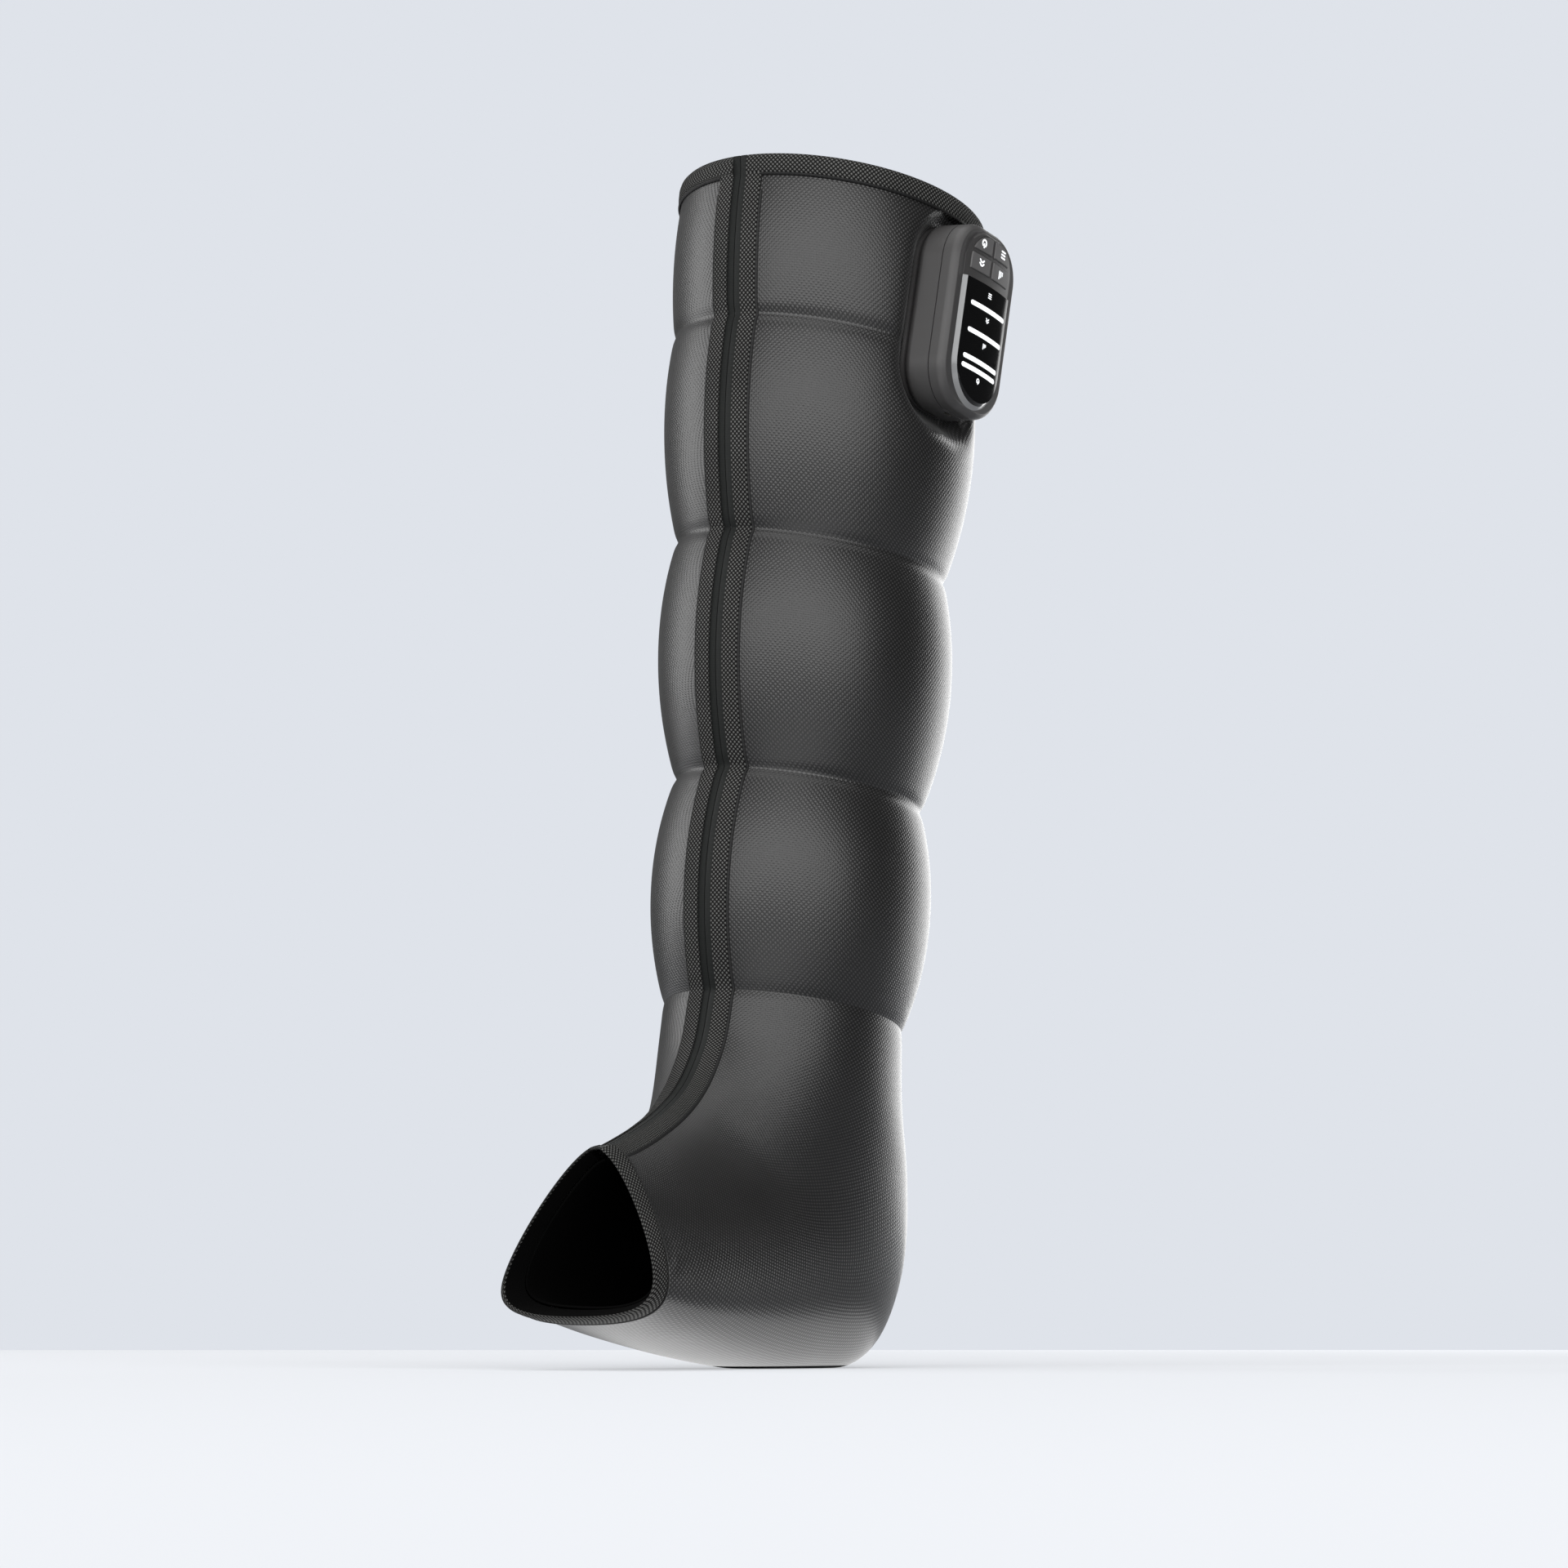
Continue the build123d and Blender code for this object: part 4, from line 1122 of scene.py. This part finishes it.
@dataclass
class RimBindings:
    """The woven bindings round the thigh rim and the toe rim."""

    form: SleeveForm
    columns: int = 260
    opening: float = 5.3  # half the gap at the zip
    piping_opening: float = 15.5  # and half the piping's gap there
    seam: tuple[float, float, float] = (1.04, 0.8, 16.0)  # share of the way, height and half gap
    seam_points: int = 500

    def ring(
        self,
        name: str,
        ends: Pair,
        profile: Profile,
        finish: Finish,
        slot: str,
        stands_for: Sequence[str] = (),
        opening: float | None = None,
    ) -> None:
        """A padded band round one end of the sleeve.

        Args:
            name: the piece's name.
            ends: the section at the rim and the section at the band's other edge.
            profile: shares of the way from rim to edge, each with its place outside the skin.
            finish: what the band is made of.
            slot: the record's name for that material; not used.
            stands_for: the CAD nodes that it replaces.
            opening: half its gap at the zip, where it isn't the bindings' own.
        """
        outer, inner = ends
        ring = np.array([*profile, profile[0]])
        width = np.linalg.norm((outer - inner)[FRONT])
        reach = inset(opening or self.opening, self.columns)
        places, pattern = [], []
        for (share, above), turned in zip(ring, running(ring * [width, 1.0])):
            points, stations = round_section(grown(between(outer, inner, share), above), reach)
            places.append(points)
            pattern.append(chart(stations, turned)[:, ::-1])
        swept, mapped = (np.array(rows).transpose(1, 0, 2) for rows in (places, pattern))
        piece = closed_sweep(name, swept, mapped, sharp=40.0)
        hand_over(piece, finish, stands_for)

    def seam_line(self, ends: Pair) -> Pair:
        """The line of a band's stitches and the outward direction along it."""
        share, height, margin = self.seam
        reach = inset(margin, self.seam_points)
        low, high = (
            round_section(grown(between(*ends, share), above), reach)[0]
            for above in (height, height + 1.0)
        )
        return low, high - low

    def build(self) -> None:
        """Makes both bindings, their piping and their stitches."""
        thigh = (self.form.thigh_rim, self.form.thigh_edge)
        toe = (self.form.toe_rim, self.form.toe_edge)
        rolled = [
            (1.0, -0.6), (0.98, 0.3), (0.92, 0.75), (0.6, 0.85), (0.3, 0.6), (0.12, -0.1),
            (0.03, -1.1), (0.0, -2.4), (0.0, -4.8), (0.03, -6.0), (0.14, -7.2),
            (0.5, -11.5), (0.8, -15.5), (1.0, -18.8), (1.0, -9.0),
        ]
        folded = [
            (1.0, -0.6), (0.98, 0.3), (0.9, 0.7), (0.5, 0.75), (0.2, 0.5), (0.06, 0.0),
            (0.0, -0.7), (0.03, -1.5), (0.15, -1.9), (1.0, -2.3),
        ]
        facing = [(0.16, -2.1), (0.3, -3.6), (1.0, -8.2), (1.0, -2.5)]
        piping = [(0.99, 0.1), (1.0, 0.75), (1.04, 1.0), (1.09, 0.7), (1.11, 0.1)]
        slot, gap = "binding_webbing", self.piping_opening
        self.ring("thigh_rim_padded", thigh, rolled, BINDING_WEB, slot, ["rim_binding"])
        self.ring("toe_rim_padded", toe, folded, BINDING_WEB, slot, ["toe_binding"])
        # The toe rim's facing is painted almost black as painted shade for the inside of the opening.
        self.ring("toe_rim_facing", toe, facing, LINING_PAINTED_SHADE, "liner_fabric")
        self.ring("thigh_rim_piping", thigh, piping, SEWING_THREAD, slot, opening=gap)
        self.ring("toe_rim_piping", toe, piping, SEWING_THREAD, slot, opening=gap)
        Sewing().row("rim_stitches", [self.seam_line(thigh), self.seam_line(toe)])


# ---------------------------------------------------------------------------
# The controller
# ---------------------------------------------------------------------------
CROWN_RADIUS = 155.0  # of the cylinder that the controller's front is cut from


class Icon(Enum):
    """The plain signs lit on the keys and under the lens."""

    POWER = "power"
    MODE = "mode"
    ZONE = "zone"
    PRESSURE = "pressure"

    def strokes(self) -> list[list[tuple[float, float]]]:
        """The sign's strokes, each a line of points in millimetres."""
        if self is Icon.POWER:
            angles = [math.radians(degrees) for degrees in range(40, 321, 20)]
            return [[(1.5 * math.sin(a), 1.5 * math.cos(a)) for a in angles], [(0.0, 0.3), (0.0, 1.9)]]
        if self is Icon.MODE:
            return [[(-1.6, y), (1.6, y)] for y in (-1.4, 0.0, 1.4)]
        if self is Icon.ZONE:
            return [[(-1.5, y - 0.6), (0.0, y + 0.6), (1.5, y - 0.6)] for y in (-1.1, 0.5)]
        return [[(x, -1.6), (x, -1.6 + height)] for x, height in ((-1.4, 1.2), (0.0, 2.2), (1.4, 3.2))]


@dataclass
class LitSigns:
    """The bars and signs that glow through the lens and on the keys."""

    place: ControllerFrame
    lens_apex: float = 34.0
    key_apex: float = 32.8
    ink: float = 0.12
    sunk: float = 0.05  # how far the ink reaches into the face
    bars: tuple[tuple[float, float, float], ...] = (
        (7.0, -19.0, 22.0),
        (-10.1, -18.6, 22.0),
        (-27.0, -19.7, 20.7),
        (-32.9, -20.0, 20.0),
    )  # place along the controller, and both ends across it
    bar_height: float = 3.0
    keys: dict[str, tuple[float, float, Icon]] = field(
        default_factory=lambda: {
            "power_key": (-11.7, 46.75, Icon.POWER),
            "mode_key": (11.7, 46.75, Icon.MODE),
            "zone_key": (-11.7, 33.45, Icon.ZONE),
            "pressure_key": (11.7, 33.45, Icon.PRESSURE),
        }
    )
    signs: tuple[tuple[float, float, Icon], ...] = (
        (0.0, 16.2, Icon.MODE),
        (0.8, 0.2, Icon.ZONE),
        (1.2, -16.1, Icon.PRESSURE),
        (-0.7, -38.6, Icon.POWER),
    )
    sign_scale: float = 0.95  # where 1 is about 3.5 mm
    key_scale: float = 1.4
    stroke: float = 0.8  # width of a sign's stroke at scale 1
    stroke_step: float = 1.2  # between two points of a stroke
    end_points: int = 5  # of each round end
    end_reach: float = 0.02  # half width of the end's last points
    look: float = 0.2  # how far ahead and behind a point the stroke's direction is taken

    def ribbon(self, name: str, line: Sequence[tuple[float, float]], width: float, apex: float) -> Piece:
        """A stroke with round ends along a line on the crowned front.

        Args:
            name: the piece's name.
            line: the stroke's points, across and along the controller.
            width: the stroke's width.
            apex: the height of the crown's middle.

        Returns:
            The stroke, as thick as the ink.
        """
        points = np.array(line, dtype=float)
        lengths = running(points)
        half, total = width / 2, lengths[-1]
        end = half * np.cos(np.linspace(0, math.pi / 2, self.end_points))
        inner = np.linspace(0, total, max(3, int(total / self.stroke_step) + 2))
        stations = np.concatenate([-end, inner[1:-1], total + end[::-1]])
        clipped = np.clip(stations, 0, total)
        over = stations - clipped
        ahead, behind = (along(points, lengths, clipped + step) for step in (self.look, -self.look))
        run = unit(ahead - behind)
        middle = along(points, lengths, clipped) + run * over[:, None]
        reach = np.sqrt(np.maximum(half**2 - over**2, self.end_reach**2))
        side = np.c_[-run[:, 1], run[:, 0]] * reach[:, None]
        flat = np.stack([middle - side, middle, middle + side])
        rise = np.sqrt(CROWN_RADIUS**2 - flat[..., 0] ** 2) - CROWN_RADIUS
        piece = grid_sheet(name, self.place.outside(np.dstack([flat, apex + rise + self.ink])), flat)
        outward = self.place.axes[2]
        if sum(np.array(face.normal) @ outward for face in piece.data.polygons) < 0:
            edit(piece, bpy.ops.mesh.flip_normals)
        solidify(piece, self.ink + self.sunk)
        return piece

    def sign(
        self, name: str, place: tuple[float, float, Icon], apex: float, scale: float
    ) -> Piece:
        """One sign, upside down as the controller is worn.

        Args:
            name: the piece's name.
            place: its middle across and along the controller, and which sign it is.
            apex: the height of the crown's middle there.
            scale: its size.

        Returns:
            The sign's strokes as one piece.
        """
        across, length, icon = place
        strokes = []
        for number, line in enumerate(icon.strokes()):
            turned = [(across - scale * x, length - scale * y) for x, y in line]
            strokes.append(self.ribbon(f"{name}_{number}", turned, self.stroke * scale, apex))
        activate(strokes[0])
        for stroke in strokes[1:]:
            stroke.select_set(True)
        bpy.ops.object.join()
        return newest(name)

    def build(self) -> None:
        """Lights the bars and signs under the lens, and the signs on the keys."""
        half = self.bar_height / 2
        for number, (height, first, last) in enumerate(self.bars, 1):
            line = [(first + half, height), (last - half, height)]
            bar = self.ribbon(f"display_bar_{number}", line, self.bar_height, self.lens_apex)
            hand_over(bar, BACKLIT_INK)
        for number, place in enumerate(self.signs, 1):
            piece = self.sign(f"display_sign_{number}", place, self.lens_apex, self.sign_scale)
            hand_over(piece, BACKLIT_INK)
        for key, place in self.keys.items():
            piece = self.sign(f"{key}_sign", place, self.key_apex, self.key_scale)
            hand_over(piece, BACKLIT_INK, body=f"{key}_body")


@dataclass
class HousingShells:
    """The housing's two moulded halves, with soft outer edges and a fine line between them."""

    place: ControllerFrame
    size: tuple[float, float, float] = (72.0, 118.0, 27.0)  # width, length, corner radius
    parting: float = 18.5
    keypad_apex: float = 32.2  # highest point of the keypad's face
    line: float = 0.35  # chamfer beside the line between the halves
    line_depth: float = 1.0  # how far the line is cut in behind its chamfers
    edges: dict[str, tuple[tuple[float, float, float], ...]] = field(
        default_factory=lambda: {
            "front_housing": ((29.5, -3.2, 0.7), (26.3, 0.0, 2.6)),
            "rear_housing": ((3.5, 0.0, 1.9), (0.0, -3.5, 1.9)),
        }
    )  # height, distance outside the outline and rounding of each loop of edges
    segments: int = 4  # facets across a rounding
    near: tuple[float, float] = (0.06, 0.12)  # how exactly a loop's height and outline are met
    near_crown: float = 0.03  # how exactly a vertex lies on the keypad's face

    def on_loop(self, piece: Piece, height: float, offset: float) -> tuple[Points, Points, Points]:
        """Finds the vertices of one loop of edges.

        Args:
            piece: the shell.
            height: of the loop.
            offset: the loop's distance outside the outline.

        Returns:
            The shell's vertices in the controller's frame, the way out at each, and whether each
            is on the loop.
        """
        local = self.place.inside(coordinates(piece) / MM)
        distance, out = beyond_slot(local, self.size)
        level = np.abs(local[:, 2] - height) < self.near[0]
        return local, out, level & (np.abs(distance - offset) < self.near[1])

    def round_edges(
        self, piece: Piece, height: float, offset: float, radius: float, segments: int
    ) -> None:
        """Rounds one loop of edges.

        Args:
            piece: the shell.
            height: of the loop.
            offset: the loop's distance outside the outline.
            radius: of the rounding.
            segments: facets across it.
        """
        on_loop = self.on_loop(piece, height, offset)[2]
        chosen = [all(on_loop[end] for end in edge.vertices) for edge in piece.data.edges]
        bevel = partial(bpy.ops.mesh.bevel, offset=radius * MM, segments=segments, affect="EDGES")
        edit_chosen(piece, Element.EDGE, chosen, partial(bevel, clamp_overlap=True))

    def shade_crown(self, piece: Piece) -> None:
        """Gives the keypad's face the normals of its cylinder, however its facets lie."""
        mesh = piece.data
        local = self.place.inside(coordinates(piece) / MM)
        rise = local[:, 2] - self.keypad_apex + CROWN_RADIUS
        on_crown = np.abs(np.hypot(local[:, 0], rise) - CROWN_RADIUS) < self.near_crown
        across, _, outward = self.place.axes
        normals = np.array([corner.vector for corner in mesh.corner_normals])
        for face in mesh.polygons:
            for corner in face.loop_indices if all(on_crown[v] for v in face.vertices) else ():
                one = mesh.loops[corner].vertex_index
                normals[corner] = (local[one, 0] * across + rise[one] * outward) / CROWN_RADIUS
        mesh.normals_split_custom_set(normals)

    def deepen_line(self, piece: Piece) -> None:
        """Cuts the line between the halves in, so that it stays dark."""
        local, out, on_loop = self.on_loop(piece, self.parting, -self.line)
        local[on_loop, :2] -= self.line_depth * out[on_loop]
        place_vertices(piece, self.place.outside(local) * MM)

    def build(self) -> None:
        """Makes a softened copy of each half."""
        for name, loops in self.edges.items():
            activate(frame["nodes"][name])
            bpy.ops.object.duplicate()
            piece = newest(f"{name}_moulded")
            bpy.ops.object.parent_clear(type="CLEAR_KEEP_TRANSFORM")
            bpy.ops.object.transform_apply(location=True, rotation=True, scale=True)
            for key in list(piece.keys()):
                del piece[key]
            edit(
                piece,
                lambda: bpy.ops.mesh.remove_doubles(threshold=TINY),
                lambda: bpy.ops.mesh.dissolve_limited(angle_limit=math.radians(1)),
            )
            for height, offset, radius in loops:
                self.round_edges(piece, height, offset, radius, self.segments)
            self.round_edges(piece, self.parting, 0.0, self.line, 1)
            self.deepen_line(piece)
            smooth(piece, degrees=32.0)
            weighted = piece.modifiers.new("Even", "WEIGHTED_NORMAL")
            weighted.keep_sharp = True
            apply_modifiers(piece)
            self.shade_crown(piece)
            hand_over(piece, HOUSING_ABS, [name])


CAD_FINISHES: dict[str, Finish] = {
    "zip_coil": COIL_NYLON,
    "dock_plate": HOUSING_ABS,
    "housing_screws": SCREW_STEEL,
    "display_lens": LENS_ACRYLIC,
    # The bezel's pale grey is a painted reflection of the light on the lens's edge.
    "lens_bezel": BEZEL_PAINTED_REFLECTION,
    "power_key": KEY_RUBBER,
    "mode_key": KEY_RUBBER,
    "zone_key": KEY_RUBBER,
    "pressure_key": KEY_RUBBER,
    "battery": BATTERY_WRAP,
    "pump_motor": CAN_STEEL,
    "pump_head": PUMP_NYLON,
    "air_manifold": PUMP_NYLON,
    "solenoid_valves": CAN_STEEL,
    "main_board": BOARD_MASK,
    "tact_switches": SWITCH_PLASTIC,
    "display_board": BOARD_MASK,
    "charge_port": SCREW_STEEL,
}


def dress_cad_nodes() -> None:
    """Gives every CAD node that stays its finish."""
    for name, finish in CAD_FINISHES.items():
        dress(frame["nodes"][name], finish)
        log.info("%s stays, %s", name, finish.name)


# ---------------------------------------------------------------------------
# The studio
# ---------------------------------------------------------------------------
@dataclass(frozen=True)
class PaintedFloor(Finish):
    """Matt floor paint that the camera sees pale, and that throws less light on the part."""

    name: str
    seen: str
    bounced: str
    glow: float = 0.5

    def nodes(self, tree: Tree) -> Socket:
        """Matt paint, with an even pale glow for the camera alone."""
        camera = add_node(tree, "LightPath").outputs["Is Camera Ray"]
        dark = add_node(tree, "BsdfDiffuse", {"Color": linear(self.bounced), "Roughness": 0.8}).outputs[0]
        glow = add_node(tree, "Emission", {"Color": linear(self.seen), "Strength": self.glow}).outputs[0]
        pale = add_node(tree, "AddShader", links={0: dark, 1: glow}).outputs[0]
        return add_node(tree, "MixShader", links={0: camera, 1: dark, 2: pale}).outputs[0]


@dataclass
class Studio:
    """A pale floor, soft lamps and the camera, in metres and degrees."""

    azimuth: float = 37.0  # of the camera, from the front to the outer side
    distance: float = 3.6
    camera_height: float = 0.036
    focal: float = 135.2  # millimetres, and so is the sensor
    sensor: float = 36.0
    farthest: float = 100.0  # that the camera sees
    pitch: float = 5.093  # upwards
    yaw: float = 0.08  # to the right of the sleeve's axis
    floor_size: float = 16.0
    floor_behind: float = 1.6  # how far the floor reaches behind the sleeve
    floor_colour: str = "#e9ebee"
    bounce_colour: str = "#9c9ea2"  # what the floor gives back to the sleeve
    sky_colour: str = "#dfe3ea"  # what the camera sees behind it
    fill_colour: str = "#d6d8da"  # what the sky lights it with
    fill: float = 0.06  # strength of that light

    def around(self, azimuth: float, distance: float, height: float) -> tuple[float, float, float]:
        """A place round the sleeve, in metres, at degrees from the front to the outer side."""
        turn = math.radians(azimuth)
        return distance * math.sin(turn), -distance * math.cos(turn), height

    def camera(self) -> None:
        """Places the camera level with the foot, looking up a little."""
        deselect()
        angles = (math.radians(90 + self.pitch), 0.0, math.radians(self.azimuth - self.yaw))
        place = self.around(self.azimuth, self.distance, self.camera_height)
        bpy.ops.object.camera_add(location=place, rotation=angles)
        camera = bpy.context.object
        camera.name = "studio_camera"
        camera.data.sensor_width, camera.data.lens = self.sensor, self.focal
        camera.data.clip_end = self.farthest
        bpy.context.scene.camera = camera

    def lamp(
        self,
        name: str,
        place: tuple[float, float, float],
        angles: tuple[float, float, float],
        size: tuple[float, float],
        brightness: float,
    ) -> None:
        """A soft box.

        Args:
            name: the lamp's name.
            place: its middle, in metres.
            angles: how it is turned, where no turn shines straight down.
            size: its sides, in metres.
            brightness: how bright its face is.
        """
        deselect()
        bpy.ops.object.light_add(type="AREA", location=place, rotation=angles)
        lamp = bpy.context.object
        lamp.name = name
        lamp.data.shape = "RECTANGLE"
        lamp.data.size, lamp.data.size_y = size
        lamp.data.energy = brightness * math.pi * size[0] * size[1]

    def softbox(
        self,
        name: str,
        azimuth: float,
        distance: float,
        span: tuple[float, float],
        width: float,
        brightness: float,
    ) -> None:
        """An upright soft box that faces the sleeve.

        Args:
            name: the lamp's name.
            azimuth: degrees round from the front, to the outer side.
            distance: metres from the sleeve.
            span: heights of its lower and upper edge, in metres.
            width: metres.
            brightness: how bright its face is.
        """
        low, high = span
        place = self.around(azimuth, distance, (low + high) / 2)
        angles = (math.pi / 2, 0.0, math.radians(azimuth))
        self.lamp(name, place, angles, (width, high - low), brightness)

    def floor(self) -> None:
        """A wide pale floor that keeps the sleeve's shadow."""
        deselect()
        place = self.around(self.azimuth, self.floor_size / 2 - self.floor_behind, 0.0)
        angles = (0.0, 0.0, math.radians(self.azimuth))
        bpy.ops.mesh.primitive_plane_add(size=self.floor_size, location=place, rotation=angles)
        floor = newest("studio_floor")
        dress(floor, PaintedFloor("matt_painted_floor", self.floor_colour, self.bounce_colour))

    def world(self) -> None:
        """A dim even light, which the camera sees as a pale background."""
        world = bpy.data.worlds.new("studio_world")
        world.use_nodes = True
        tree = world.node_tree
        tree.nodes.clear()
        path = add_node(tree, "LightPath").outputs
        rays = {0: path["Is Camera Ray"], 1: path["Is Transmission Ray"]}
        seen = add_node(tree, "Math", {"operation": "MAXIMUM"}, rays).outputs[0]
        fill, sky = (
            add_node(tree, "Background", {"Color": linear(code), "Strength": strength}).outputs[0]
            for code, strength in ((self.fill_colour, self.fill), (self.sky_colour, 1.0))
        )
        mixed = add_node(tree, "MixShader", links={0: seen, 1: fill, 2: sky}).outputs[0]
        add_node(tree, "OutputWorld", links={"Surface": mixed})
        bpy.context.scene.world = world

    def build(self) -> None:
        """Sets the whole studio up."""
        self.camera()
        self.floor()
        self.world()
        down, up = (0.0, 0.0, 0.0), (math.pi, 0.0, 0.0)
        # azimuth, distance, lower and upper edge, width, brightness
        self.softbox("front_box", 30.0, 4.2, (0.7, 3.4), 11.6, 3.5)
        self.softbox("left_box", -69.0, 2.0, (0.2, 1.8), 1.25, 3.5)
        self.softbox("rim_box", 191.0, 2.0, (0.0, 1.6), 1.8, 3.2)
        self.softbox("side_box", 158.0, 1.8, (0.0, 0.5), 0.9, 1.6)
        # place, turn, sides, brightness
        self.lamp("ceiling_box", (0.3, -0.4, 3.0), down, (3.0, 3.0), 2.0)
        self.lamp("floor_box", (0.02, -0.06, 0.0015), up, (0.15, 0.34), 1.5)
        self.lamp("apron_box", (0.8, -1.0, 0.0015), up, (1.7, 1.2), 1.2)
        bpy.context.scene.view_settings.view_transform = "Standard"


# ---------------------------------------------------------------------------
# Everything in order
# ---------------------------------------------------------------------------
def main() -> None:
    """Builds each sub-assembly around the frame."""
    logging.basicConfig(level=logging.INFO, format="%(name)s: %(message)s")
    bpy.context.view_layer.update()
    Studio().build()
    form = SleeveForm()
    controller = ControllerFrame()
    PaddedCover(form, controller).build()
    AirChambers(form, controller).build()
    Lining(form).build()
    ZipFastener(form).build()
    RimBindings(form).build()
    HousingShells(controller).build()
    LitSigns(controller).build()
    dress_cad_nodes()
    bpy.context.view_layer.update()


if __name__ == "__main__":
    main()
